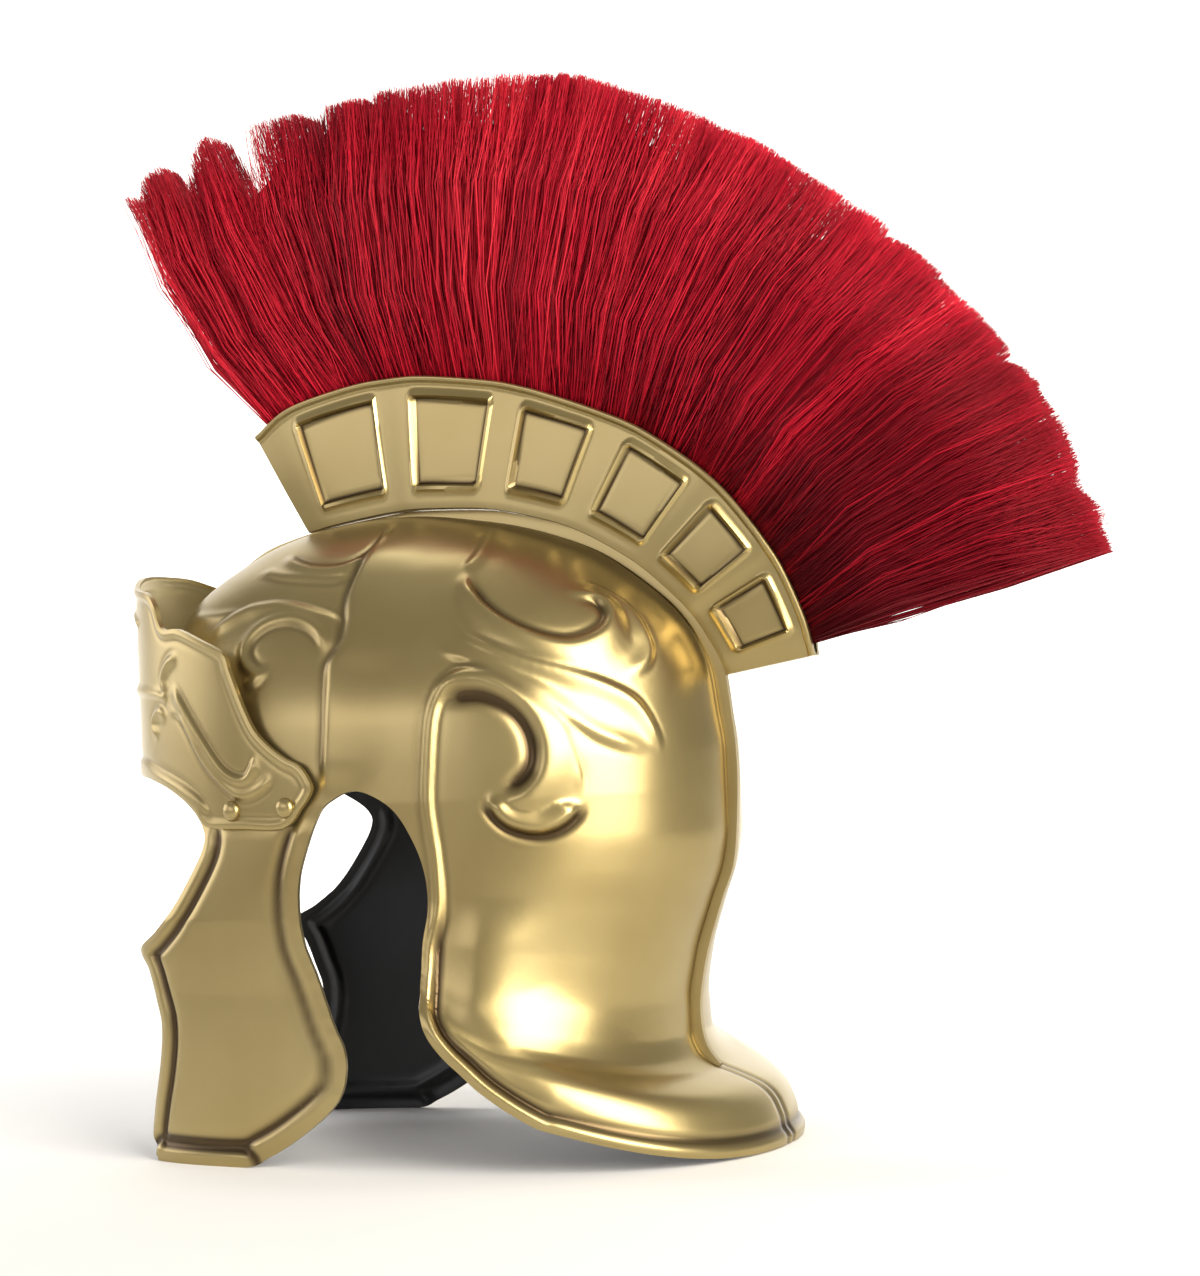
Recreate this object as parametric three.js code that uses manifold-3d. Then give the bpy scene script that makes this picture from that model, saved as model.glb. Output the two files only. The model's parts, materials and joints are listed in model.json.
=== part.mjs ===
// Roman helmet with a crimson crest brush, in millimetres.
// +Z is up, the face looks along -Y, the wearer's left is +X, and z = 0 is the surface it stands on.

import * as THREE from "three";
import Module from "manifold-3d";

const WALL = 2.0;
const GAP = 0.3;
const HALF_GAP = GAP / 2;
const CENTRE_Y = 0.6;

const CROWN_Z = 254;
const BROW_Z = 140;
// Plan of the wall at the brow height: half width, reach ahead of its widest place, and that y.
const FACE = { side: 84, reach: 127, y: -62 };
// The widest place moves this far ahead up to the crown, and this far behind down to the neck.
const CROWN_AHEAD = 18;
const NECK_BEHIND = 22;
// Under the brow height the cheek guards stand this much further in and further ahead.
const CHEEK_IN = 3.0;
const CHEEK_AHEAD = 12.0;
// The face's lower edge runs out this far under the resting surface before it is trimmed.
const HEM = 6.0;
const FLANGE_THICK = 1.8;
const HOLDER_WALL = 1.6;
const PLATE_THICK = 2.0;
// How far the brow plate's outside stands off the wall at the side and in front.
const PLATE_OFF = { side: 3.4, reach: 10 };
const RIDGE_HEIGHT = 1.5;
const RIDGE_ROOT = 1.0;
const RIVET_RADIUS = 4.0;
const RIVET_HEIGHT = 2.6;

const DOME_STEPS = 7;
const AROUND_STEPS = 22;

// Crown above the brow height, by angle over the horizon: columns angle, share of the face's reach
// ahead of its y.
const CROWN_FRONT = [
  [0, 1], [12.7, 1], [26, 0.9882], [34.8, 0.9606], [46, 0.8898], [51.3, 0.8268], [57.8, 0.7323],
  [64.6, 0.6378], [69.8, 0.5512], [75.8, 0.4409], [84, 0.2835], [90, 0.1417],
];
// Columns angle, rear y.
const CROWN_REAR = [
  [0, 52], [7, 52], [15.3, 50], [23.2, 48], [31.8, 42], [37.9, 35], [48.2, 18],
  [56.9, 2], [64, -15], [70.6, -32], [78, -54], [84, -68], [90, -80],
];
// Columns angle, share of the face's half width.
const CROWN_SIDE = [
  [0, 1], [15, 0.9821], [30, 0.8929], [50, 0.6786], [65, 0.4643], [75, 0.3036], [84, 0.1429],
  [90, 0],
];
// Wall under the brow height, down to the neck guard's edge: columns drop (0 to 1), rear y, rear z,
// share of the face's half width.
const BODY = [
  [0, 52, 140, 1], [0.11, 51.8, 125, 1], [0.22, 49.5, 111, 1], [0.34, 43.5, 95, 1.0036],
  [0.47, 36.5, 75, 1.0119], [0.6, 33, 56, 1.0298], [0.7, 33, 44, 1.0536],
  [0.76, 35.5, 36.5, 1.0714], [0.81, 41, 31, 1.0893], [0.85, 49.5, 26.5, 1.1071],
  [0.89, 59.5, 21, 1.125], [0.93, 65.5, 15, 1.1393], [0.97, 69.5, 7, 1.1464],
  [1, 70, 0.5, 1.1488],
];

// Height of the neck guard's edge by angle round from the face: columns angle, z.
const NECK_EDGE = [
  [90, 48], [95, 38], [100, 30], [109, 20], [118, 14.5], [127, 10], [141, 4], [150, 0.3],
  [165, 0.3], [180, 0.3],
];

// Side view of one half of the shell, columns y, z: brow edge, cheek guard, ear arch, neck guard.
const HALF_OUTLINE = [
  [-230, 160], [-186, 158], [-168, 150], [-150, 139], [-142, 131], [-142, 124], [-149, 112],
  [-158, 100], [-168, 91], [-178, 84], [-173, 76], [-169, 64], [-166.5, 54], [-168, 40],
  [-173, 20], [-175, 7], [-171.5, 1.5], [-168, 0], [-128, 0], [-117, 3.5], [-103, 11], [-88, 22],
  [-81.5, 31], [-80, 44], [-85, 57], [-91, 75], [-95.5, 87], [-97, 100], [-96, 112], [-92, 124],
  [-86, 137], [-80, 142], [-72, 145], [-64, 143.5], [-54, 137], [-46.5, 125], [-42.5, 113],
  [-41.5, 100], [-43.5, 85], [-43, 66], [-39, 54], [-33, 46], [-25, 39], [-20, 34], [-20, 0],
  [130, 0], [130, 300], [-230, 300],
];

// Raised ridges on the shell, columns y, z, width.
const SHELL_RIDGES = {
  cheek_border: [
    [-137, 129, 3], [-138.5, 116, 3], [-147, 104, 3], [-158, 92, 3], [-166, 82.5, 3],
    [-162, 72, 3], [-158, 60, 3], [-158, 48, 3], [-162, 28, 3], [-167, 8, 3], [-150, 6, 3],
    [-130, 6.5, 3], [-114, 12, 3], [-99, 21, 3], [-91.5, 33, 3], [-92, 45, 3], [-97, 59, 3],
    [-102, 73, 3], [-107, 91, 3], [-106.5, 109, 3], [-103, 129, 3],
  ],
  neck_border: [
    [-30, 187, 2], [-36, 183, 4], [-39, 173, 5], [-40.5, 160, 5], [-41, 145, 5], [-39.5, 128, 5],
    [-36.5, 113, 5], [-37, 99, 5], [-39, 82, 5], [-38, 66, 5], [-32, 54, 5], [-20, 41, 5],
    [-4, 29, 5], [16, 19.5, 5], [36, 13.5, 5], [52, 12, 5], [62, 12.5, 5],
  ],
  brow_scroll: [
    [-117, 190, 3], [-110, 196, 5], [-119, 199, 5], [-123, 205, 5], [-118, 211, 5],
    [-108, 212.5, 5], [-97, 210, 5], [-89, 204, 5], [-86, 196, 4], [-83.5, 180, 3], [-83.3, 160, 3],
    [-83, 149, 3],
  ],
  brow_arch: [
    [-146, 206, 3], [-144, 212, 4], [-136, 217, 4], [-122, 222, 4], [-107, 222, 4],
    [-94, 218, 4], [-84, 212, 3],
  ],
  temple_leaf: [
    [-128, 231, 3], [-115, 227, 5], [-100, 225.5, 5], [-88, 226, 4], [-80, 230, 3],
  ],
  crown_leaf: [
    [-120, 240, 3], [-105, 234, 5], [-92, 233, 5], [-83, 237, 4], [-79, 244, 3],
  ],
  rear_scroll: [
    [-37, 243, 2], [-36, 232, 3], [-31, 224, 4], [-25, 215, 5], [-16, 208, 6], [-5, 203, 6],
    [7, 200.5, 6], [17, 201, 5], [20, 206, 4], [13, 212, 3],
  ],
  rear_arch: [
    [3, 218, 3], [12, 218, 4], [22, 213, 4], [31, 205, 4], [35, 197, 4], [34, 188, 3],
  ],
  long_leaf: [
    [-31, 201, 5], [-18, 196, 8], [-4, 190, 10], [9, 182, 13], [20, 174, 14], [30, 165, 11],
    [37, 158, 6], [40.5, 154.5, 2],
  ],
  ear_scroll: [
    [-33, 184, 3], [-22, 184.5, 5], [-10, 181, 8], [1, 173, 11], [8, 161, 14], [10, 149, 15],
    [6, 138, 12], [-3, 132, 9], [-11, 134, 6], [-15, 141, 4],
  ],
};

// Stations of the crest holder, front to rear: foot y and z, lip y and z, brush length.
const STATIONS = [
  [-127, 250.3, -150, 292.1, 123], [-116.5, 252.2, -132.6, 302.8, 121],
  [-87.4, 255.9, -93.1, 310.6, 116], [-75.1, 256.5, -75.8, 311, 118],
  [-47.8, 255.1, -37, 305.9, 124], [-34.9, 253, -23, 302.2, 125], [-12, 246.9, 8, 290.5, 123],
  [-1.5, 242.5, 23, 283.5, 119], [19, 230.2, 48.5, 265.5, 116], [24.5, 225.6, 58, 256.3, 116],
  [38.9, 211.5, 73.5, 235.5, 118], [42.8, 206, 79.3, 225.2, 120], [51.6, 189.6, 88.4, 200.8, 121],
  [53.2, 183.4, 90.2, 189.5, 121],
];
// Seam flange in side view where the holder does not cover it, columns y, z.
const FLANGE_FRONT = [
  [-191, 156], [-191, 172], [-189.5, 190], [-186, 206], [-177, 223], [-169, 230.5], [-157, 238.5],
  [-145, 245],
];
const FLANGE_REAR = [
  [54.2, 172], [55.8, 154], [55.6, 136], [53, 111], [47, 95], [40.2, 75], [36.6, 58], [36.4, 47],
  [38.4, 38], [43.5, 31],
];
// Embossed panels between stations, inset from foot and lip by these lengths.
const PANEL_FOOT = 8.0;
const PANEL_LIP = 7.0;
const PANEL_HEIGHT = 1.2;

// Plan of the brow plate: half width, reach ahead of y and the power of its superellipse.
const PLATE_PLAN = {
  side: FACE.side + PLATE_OFF.side,
  reach: FACE.reach + PLATE_OFF.reach,
  y: FACE.y,
  power: 2.3,
};
// Columns angle round from the face, top z.
const PLATE_TOP = [
  [0, 236], [6, 235.7], [12, 234.5], [22, 230.5], [32, 228], [38, 226.5], [42, 222], [45.5, 212],
  [52, 211], [58.8, 206.2], [64.8, 200.5], [66.3, 193.7], [67.8, 185.8], [69.4, 177.9],
  [71.4, 170], [74, 164], [77.2, 158.7], [79.8, 155.5], [81.6, 149],
];
// Columns angle, bottom z.
const PLATE_BOTTOM = [
  [0, 154], [20, 153], [33, 152.2], [39, 151], [46, 148.2], [52, 143.3], [55.5, 138.4],
  [59, 132.6], [68, 131.8], [76.6, 131.8], [80, 139.5], [81.6, 145],
];
// Raised scrolls on the plate's left half, columns angle, z, width in millimetres.
const PLATE_RIDGES = {
  band: [
    [48, 197, 4], [50, 190, 4], [53.5, 181, 4], [58, 170.5, 4], [62.5, 161, 4], [66, 155.5, 4],
    [69, 156.5, 4], [71.5, 158, 4], [73, 153.5, 4], [73, 148, 4], [70.5, 144, 4], [67.5, 143.5, 4],
    [65, 146, 4], [62, 152, 4], [58, 162, 4], [53.5, 172, 4], [49, 176.5, 4],
  ],
  curl: [
    [52, 203, 3], [48, 202.5, 4], [44.5, 198, 4], [43.8, 191, 4], [46, 185, 4], [41.5, 182, 4],
    [37.5, 177, 4], [36.5, 171, 4], [40, 166.5, 3],
  ],
  bridge: [[-34, 188, 5], [-18, 188, 5], [0, 188, 5], [18, 188, 5], [34, 188, 5]],
  fan: [[5, 197, 3], [8, 208, 6], [14, 217, 5], [21, 221, 4], [28, 217, 3]],
  brow: [
    [4, 158.5, 3], [20, 158, 3], [34, 157, 3], [43, 155, 3], [50.5, 151, 3], [55.5, 145.5, 3],
    [59.5, 139, 3], [61, 135.5, 3],
  ],
};
// Rivets, columns name, side, angle, z.
const RIVETS = [
  ["rivet_left_front", 1, 65.6, 138.8],
  ["rivet_left_rear", 1, 77, 139.5],
  ["rivet_right_front", -1, 65.6, 138.8],
  ["rivet_right_rear", -1, 77, 139.5],
];

const HOLDER_THIN = 2.5;
const HOLDER_BULGE = 9.0;
const HOLDER_LIP = 1.6;
const BRUSH_END = 0.035;
const LOCKS = 24;
const LOCK_DEPTH = 0.22;

const wasm = await Module();
wasm.setup();
const { Manifold, Mesh: SolidMesh } = wasm;

const radians = (degrees) => (degrees * Math.PI) / 180;
const clamp = (x, low, high) => Math.min(high, Math.max(low, x));
const lerp = (a, b, t) => a + (b - a) * t;

// Monotone cubic through column `column` of a table whose column 0 rises.
function along(table, x, column = 1) {
  const last = table.length - 1;
  const at = clamp(x, table[0][0], table[last][0]);
  const slope = (i) => (table[i + 1][column] - table[i][column]) / (table[i + 1][0] - table[i][0]);
  const tangent = (i) => {
    if (i === 0) return slope(0);
    if (i === last) return slope(last - 1);
    const [a, b] = [slope(i - 1), slope(i)];
    return a * b <= 0 ? 0 : (2 * a * b) / (a + b);
  };
  let k = 0;
  while (k < last - 1 && at > table[k + 1][0]) k += 1;
  const width = table[k + 1][0] - table[k][0];
  const t = (at - table[k][0]) / width;
  const [p, q] = [table[k][column], table[k + 1][column]];
  return p * (1 + 2 * t) * (1 - t) ** 2 + q * t * t * (3 - 2 * t)
    + tangent(k) * width * t * (1 - t) ** 2 - tangent(k + 1) * width * t * t * (1 - t);
}

const linear = (table, x) => {
  let k = 0;
  while (k < table.length - 2 && x > table[k + 1][0]) k += 1;
  return lerp(table[k][1], table[k + 1][1], (x - table[k][0]) / (table[k + 1][0] - table[k][0]));
};

// Outside of the left half. `around` runs 0 at the face to 180 at the nape; `level` runs -1 at the
// crown, 0 at the brow height and 1 at the lower edge.
function shellPoint(around, level) {
  const [c, s] = [Math.cos(radians(around)), Math.sin(radians(around))];
  const behind = around > 90;
  if (level <= 0) {
    const angle = -level * 90;
    const middle = FACE.y - CROWN_AHEAD * (-level) ** 1.5;
    const front = FACE.y - FACE.reach * along(CROWN_FRONT, angle);
    const reach = (behind ? along(CROWN_REAR, angle) : front) - middle;
    const power = 2 / (2 + 0.2 * Math.cos(radians(angle)) ** 2 * (behind ? 1 : 2));
    return new THREE.Vector3(
      FACE.side * along(CROWN_SIDE, angle) * Math.max(s, 0) ** power,
      middle + reach * Math.abs(c) ** power,
      BROW_Z + (CROWN_Z - BROW_Z) * Math.sin(radians(angle)),
    );
  }
  if (behind) {
    const middle = FACE.y + NECK_BEHIND * level ** 1.5;
    const power = 2 / (2.2 - 0.05 * level);
    const drop = (BROW_Z - along(BODY, level, 2)) / (BROW_Z - BODY[BODY.length - 1][2]);
    return new THREE.Vector3(
      FACE.side * along(BODY, level, 3) * s ** power,
      middle + (along(BODY, level) - middle) * Math.abs(c) ** power,
      BROW_Z - drop * (BROW_Z - along(NECK_EDGE, around)),
    );
  }
  const ease = clamp(level / 0.3, 0, 1);
  const power = 2 / (2.4 + 0.9 * ease);
  return new THREE.Vector3(
    (FACE.side - CHEEK_IN * Math.min(2 * level, 1)) * s ** power,
    FACE.y - (FACE.reach + CHEEK_AHEAD * ease) * c ** power,
    BROW_Z - level * (BROW_Z + HEM),
  );
}

// Unit vector out of a surface given as a function of two numbers, at (u, v).
function outward(surface, u, v, du, dv) {
  const a = surface(u + du, v).sub(surface(u - du, v));
  const b = surface(u, v + dv).sub(surface(u, v - dv));
  return b.cross(a).normalize();
}

function shellNormal(around, level) {
  const u = clamp(around, 1.5, 178.5);
  const v = clamp(level, -0.97, 0.985);
  const n = outward(shellPoint, u, v, 1, 0.012);
  if (around <= 0 || around >= 180) n.x = 0;
  return n.normalize();
}

// Surface coordinates of the place seen at (y, z) from the left side.
function shellAt(y, z) {
  let best = [90, 0];
  let error = Infinity;
  for (let around = 2; around <= 178; around += 4) {
    for (let level = -0.96; level <= 1; level += 0.04) {
      const p = shellPoint(around, level);
      const d = Math.hypot(p.y - y, p.z - z);
      if (d < error) [best, error] = [[around, level], d];
    }
  }
  for (let size = 2; size > 0.005; size /= 2) {
    for (const [i, j] of [[1, 0], [-1, 0], [0, 1], [0, -1], [1, 1], [-1, -1], [1, -1], [-1, 1]]) {
      const around = clamp(best[0] + i * size, 0, 180);
      const level = clamp(best[1] + (j * size) / 100, -1, 1);
      const p = shellPoint(around, level);
      const d = Math.hypot(p.y - y, p.z - z);
      if (d < error) [best, error] = [[around, level], d];
    }
  }
  return best;
}

// Closed solid from quads over indexed points.
function solidOf(points, quads) {
  const vertProperties = new Float32Array(points.flatMap((p) => [p.x, p.y, p.z]));
  const triVerts = new Uint32Array(quads.flatMap(([a, b, c, d]) => [a, b, c, a, c, d]));
  const mesh = new SolidMesh({ numProp: 3, vertProperties, triVerts });
  mesh.merge();
  return new Manifold(mesh);
}

// Solid between two equal grids of points. `front` faces out where its columns step to the right
// of its rows as seen from outside.
function sheet(front, back) {
  const rows = front.length;
  const columns = front[0].length;
  const points = [...front.flat(), ...back.flat()];
  const at = (side, i, j) => side * rows * columns + i * columns + j;
  const quads = [];
  for (let i = 0; i < rows - 1; i += 1) {
    for (let j = 0; j < columns - 1; j += 1) {
      quads.push([at(0, i, j), at(0, i, j + 1), at(0, i + 1, j + 1), at(0, i + 1, j)]);
      quads.push([at(1, i, j), at(1, i + 1, j), at(1, i + 1, j + 1), at(1, i, j + 1)]);
    }
  }
  for (let i = 0; i < rows - 1; i += 1) {
    const j = columns - 1;
    quads.push([at(0, i, 0), at(0, i + 1, 0), at(1, i + 1, 0), at(1, i, 0)]);
    quads.push([at(0, i + 1, j), at(0, i, j), at(1, i, j), at(1, i + 1, j)]);
  }
  for (let j = 0; j < columns - 1; j += 1) {
    const i = rows - 1;
    quads.push([at(0, 0, j + 1), at(0, 0, j), at(1, 0, j), at(1, 0, j + 1)]);
    quads.push([at(0, i, j), at(0, i, j + 1), at(1, i, j + 1), at(1, i, j)]);
  }
  return solidOf(points, quads);
}

// Raised ridge along places { point, normal, width } on a surface.
function ridge(places, height, root) {
  const front = [];
  const back = [];
  places.forEach(({ point, normal, width }, i) => {
    const before = places[Math.max(i - 1, 0)].point;
    const after = places[Math.min(i + 1, places.length - 1)].point;
    const side = after.clone().sub(before).cross(normal).normalize();
    const place = (across, up) => point.clone().addScaledVector(side, across)
      .addScaledVector(normal, up);
    front.push([place(-width * 0.3, height), place(width * 0.3, height)]);
    back.push([place(-width * 0.55, -root), place(width * 0.55, -root)]);
  });
  return sheet(front, back);
}

// Prism of a side-view outline (y, z) between two x planes.
function prism(outline, low, high) {
  const shape = new THREE.Shape(outline.map(([y, z]) => new THREE.Vector2(y, z)));
  const solid = new THREE.ExtrudeGeometry(shape, { depth: high - low, bevelEnabled: false });
  const turn = new THREE.Matrix4().set(0, 0, 1, low, 1, 0, 0, 0, 0, 1, 0, 0, 0, 0, 0, 1);
  solid.applyMatrix4(turn);
  const mesh = new SolidMesh({
    numProp: 3,
    vertProperties: new Float32Array(solid.attributes.position.array),
    triVerts: new Uint32Array(solid.attributes.position.count).map((_, i) => i),
  });
  mesh.merge();
  return new Manifold(mesh);
}

const join = (solids) => Manifold.union(solids);

function shellHalf() {
  const levels = [];
  for (let i = 0; i < DOME_STEPS; i += 1) levels.push(-1 + i / DOME_STEPS);
  BODY.forEach(([drop]) => levels.push(drop));
  const outer = [];
  const inner = [];
  for (let i = 0; i <= AROUND_STEPS; i += 1) {
    const around = (180 * i) / AROUND_STEPS;
    outer.push(levels.map((level) => shellPoint(around, level)));
    inner.push(levels.map((level) => shellPoint(around, level)
      .addScaledVector(shellNormal(around, level), -WALL)));
  }
  outer.forEach((row) => { row[0] = outer[0][0].clone(); });
  inner.forEach((row) => { row[0] = new THREE.Vector3(0, outer[0][0].y, CROWN_Z - WALL); });
  const ridges = Object.values(SHELL_RIDGES).map((rows) => ridge(rows.map(([y, z, width]) => {
    const [around, level] = shellAt(y, z);
    return {
      point: shellPoint(around, level), normal: shellNormal(around, level), width,
    };
  }), RIDGE_HEIGHT, RIDGE_ROOT));
  const wall = sheet(outer, inner);
  const cut = prism(HALF_OUTLINE, HALF_GAP, 130);
  return join([join([wall, ...ridges]).intersect(cut), flange()]);
}

// Upstanding strip along the seam, from the brow edge over the crown to the nape.
function flange() {
  const top = [
    ...FLANGE_FRONT,
    ...STATIONS.map(([y, z, lipY, lipZ]) => {
      const length = Math.hypot(lipY - y, lipZ - z);
      return [y - (GAP * (lipY - y)) / length, z - (GAP * (lipZ - z)) / length];
    }),
    ...FLANGE_REAR,
  ];
  const root = [];
  const sink = (around, level) => {
    const p = shellPoint(around, level).addScaledVector(shellNormal(around, level), -RIDGE_ROOT);
    root.push([p.y, p.z]);
  };
  for (let level = 0; level >= -0.92; level -= 0.08) sink(0, level);
  for (let level = -0.96; level < 0; level += 0.08) sink(180, level);
  for (let level = 0; level <= 0.79; level += 0.08) sink(180, level);
  root[0] = [-188, 156];
  return prism([...top, ...root.reverse()], HALF_GAP, HALF_GAP + FLANGE_THICK);
}

// Half width of the holder at a fraction of its length.
const holderHalf = (s) => HOLDER_THIN + HOLDER_BULGE * Math.sin(Math.PI * s);

// Point of the holder's mid surface: fraction along, length up from the foot, x.
function holderFrame(s) {
  const f = s * (STATIONS.length - 1);
  const rows = STATIONS.map((row, i) => [i, ...row]);
  const [y, z, lipY, lipZ, brush] = [1, 2, 3, 4, 5].map((column) => along(rows, f, column));
  const height = Math.hypot(lipY - y, lipZ - z);
  return { y, z, uy: (lipY - y) / height, uz: (lipZ - z) / height, height, brush };
}

function crestPanel() {
  const last = STATIONS.length - 1;
  const fractions = [0, 0.02];
  for (let i = 1; i <= 2 * last - 1; i += 1) fractions.push(i / (2 * last));
  fractions.push(0.98, 1);
  const front = [];
  const back = [];
  for (const s of fractions) {
    const { y, z, uy, uz, height } = holderFrame(s);
    const half = holderHalf(s);
    const place = (x, up) => new THREE.Vector3(Math.max(x, HALF_GAP), y + uy * up, z + uz * up);
    const closed = s === 0 || s === 1;
    const within = (x) => (closed ? HALF_GAP : x - HOLDER_WALL);
    front.push([
      place(HALF_GAP, 0), place(half, 0), place(half + 0.4, height * 0.5), place(half, height - 3.5),
      place(half + HOLDER_LIP, height - 2), place(half + HOLDER_LIP, height),
    ]);
    back.push([
      place(HALF_GAP, HOLDER_WALL), place(within(half), HOLDER_WALL),
      place(within(half + 0.4), height * 0.5), place(within(half), height - 3.5),
      place(within(half), height - 2), place(within(half), height),
    ]);
  }
  const pads = [];
  for (let i = 1; i < last; i += 2) {
    const [low, high] = [[], []];
    for (const station of [i, i + 0.5, i + 1]) {
      const s = station / last;
      const { y, z, uy, uz, height } = holderFrame(s);
      const place = (rise, up) => new THREE.Vector3(
        holderHalf(s) + up, y + uy * rise, z + uz * rise,
      );
      const rises = [height - PANEL_LIP, PANEL_FOOT];
      high.push(rises.map((rise) => place(rise, PANEL_HEIGHT)));
      low.push(rises.map((rise) => place(rise, -0.6)));
    }
    pads.push(sheet(high, low));
  }
  return join([sheet(front.reverse(), back.reverse()), ...pads]);
}

// Brush: locks side by side, joined by a backing that stands in the holder. Its tips fan out a
// little further than the holder reaches.
function plume() {
  const steps = LOCKS * 2;
  const left = [];
  const right = [];
  for (let i = 0; i <= steps; i += 1) {
    const s = lerp(BRUSH_END, 1 - BRUSH_END, i / steps);
    const foot = holderFrame(s);
    const fan = holderFrame(i / steps);
    const groove = i % 2 === 0 ? 1 - LOCK_DEPTH : 1;
    const root = holderHalf(s) - HOLDER_WALL - GAP;
    const tip = (3 + root) * groove;
    const length = fan.brush * (i % 2 === 0 ? 0.965 : 1);
    const rows = [
      [foot, HOLDER_WALL + GAP, root], [foot, foot.height, root],
      [fan, fan.height + 12, root * groove + 1], [fan, fan.height + length * 0.55, tip],
      [fan, fan.height + length * 0.93, tip], [fan, fan.height + length, tip * 0.45],
    ];
    const row = (side) => rows.map(([{ y, z, uy, uz }, up, x]) => (
      new THREE.Vector3(side * x, y + uy * up, z + uz * up)));
    left.push(row(1));
    right.push(row(-1));
  }
  return sheet(left.reverse(), right.reverse());
}

function platePoint(around, z) {
  const [c, s] = [Math.cos(radians(around)), Math.sin(radians(around))];
  const power = 2 / PLATE_PLAN.power;
  return new THREE.Vector3(
    PLATE_PLAN.side * Math.sign(s) * Math.abs(s) ** power,
    PLATE_PLAN.y - PLATE_PLAN.reach * c ** power,
    z,
  );
}

function plateNormal(around) {
  const n = outward(platePoint, around, 0, 0.5, -1);
  return n.setZ(0).normalize();
}

function browPlate() {
  const half = [0, 4, 10, 16, 22, 28, 34, 38, 42, 45.5, 49, 52, 55.5, 59, 62, 64.8, 66.3, 67.8,
    69.4, 71.4, 74, 76.6, 78.4, 80, 81.6];
  const angles = [...half.slice(1).reverse().map((a) => -a), ...half];
  const front = [];
  const back = [];
  for (const angle of angles) {
    const n = plateNormal(angle);
    const outer = [PLATE_TOP, PLATE_BOTTOM].map((edge) => (
      platePoint(angle, linear(edge, Math.abs(angle)))));
    front.push(outer);
    back.push(outer.map((p) => p.clone().addScaledVector(n, -PLATE_THICK)));
  }
  const ridges = [];
  for (const [name, rowsOf] of Object.entries(PLATE_RIDGES)) {
    for (const side of name === "bridge" ? [1] : [1, -1]) {
      const places = rowsOf.map(([angle, z, width]) => ({
        point: platePoint(side * angle, z), normal: plateNormal(side * angle), width,
      }));
      ridges.push(ridge(places, RIDGE_HEIGHT, RIDGE_ROOT));
    }
  }
  return join([sheet(front, back), ...ridges]);
}

function rivet(side, angle, z) {
  const profile = [
    new THREE.Vector2(0, 0), new THREE.Vector2(RIVET_RADIUS, 0),
    new THREE.Vector2(RIVET_RADIUS, 0.5), new THREE.Vector2(RIVET_RADIUS * 0.8, RIVET_HEIGHT * 0.7),
    new THREE.Vector2(RIVET_RADIUS * 0.45, RIVET_HEIGHT * 0.95), new THREE.Vector2(0, RIVET_HEIGHT),
  ];
  const head = new THREE.LatheGeometry(profile, 12);
  const n = plateNormal(side * angle);
  const seat = platePoint(side * angle, z).addScaledVector(n, GAP);
  head.applyQuaternion(new THREE.Quaternion().setFromUnitVectors(new THREE.Vector3(0, 1, 0), n));
  head.translate(seat.x, seat.y, seat.z);
  return head;
}

function geometryOf(solid) {
  const { numProp, vertProperties, triVerts } = solid.getMesh();
  const positions = new Float32Array(triVerts.length * 3);
  triVerts.forEach((v, i) => {
    positions[3 * i] = vertProperties[v * numProp];
    positions[3 * i + 1] = vertProperties[v * numProp + 1];
    positions[3 * i + 2] = vertProperties[v * numProp + 2];
  });
  const geometry = new THREE.BufferGeometry();
  geometry.setAttribute("position", new THREE.BufferAttribute(positions, 3));
  return geometry;
}

const gold = { color: 0xa8945f, metalness: 0.85, roughness: 0.38 };
const crimson = { color: 0x9c1020, metalness: 0, roughness: 0.75 };

const group = new THREE.Group();

function add(name, geometry, finish) {
  geometry.translate(0, -CENTRE_Y, 0);
  geometry.computeVertexNormals();
  const mesh = new THREE.Mesh(geometry, new THREE.MeshStandardMaterial(finish));
  mesh.name = name;
  group.add(mesh);
}

const half = shellHalf();
const panel = crestPanel();
add("shell_left", geometryOf(half), gold);
add("shell_right", geometryOf(half.mirror([1, 0, 0])), gold);
add("brow_plate", geometryOf(browPlate()), gold);
add("crest_panel_left", geometryOf(panel), gold);
add("crest_panel_right", geometryOf(panel.mirror([1, 0, 0])), gold);
add("plume", geometryOf(plume()), crimson);
for (const [name, side, angle, z] of RIVETS) {
  add(name, rivet(side, angle, z), gold);
}

export default group;
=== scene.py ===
"""Roman helmet with a crimson crest brush, built piece by piece on its CAD frame."""

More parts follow.
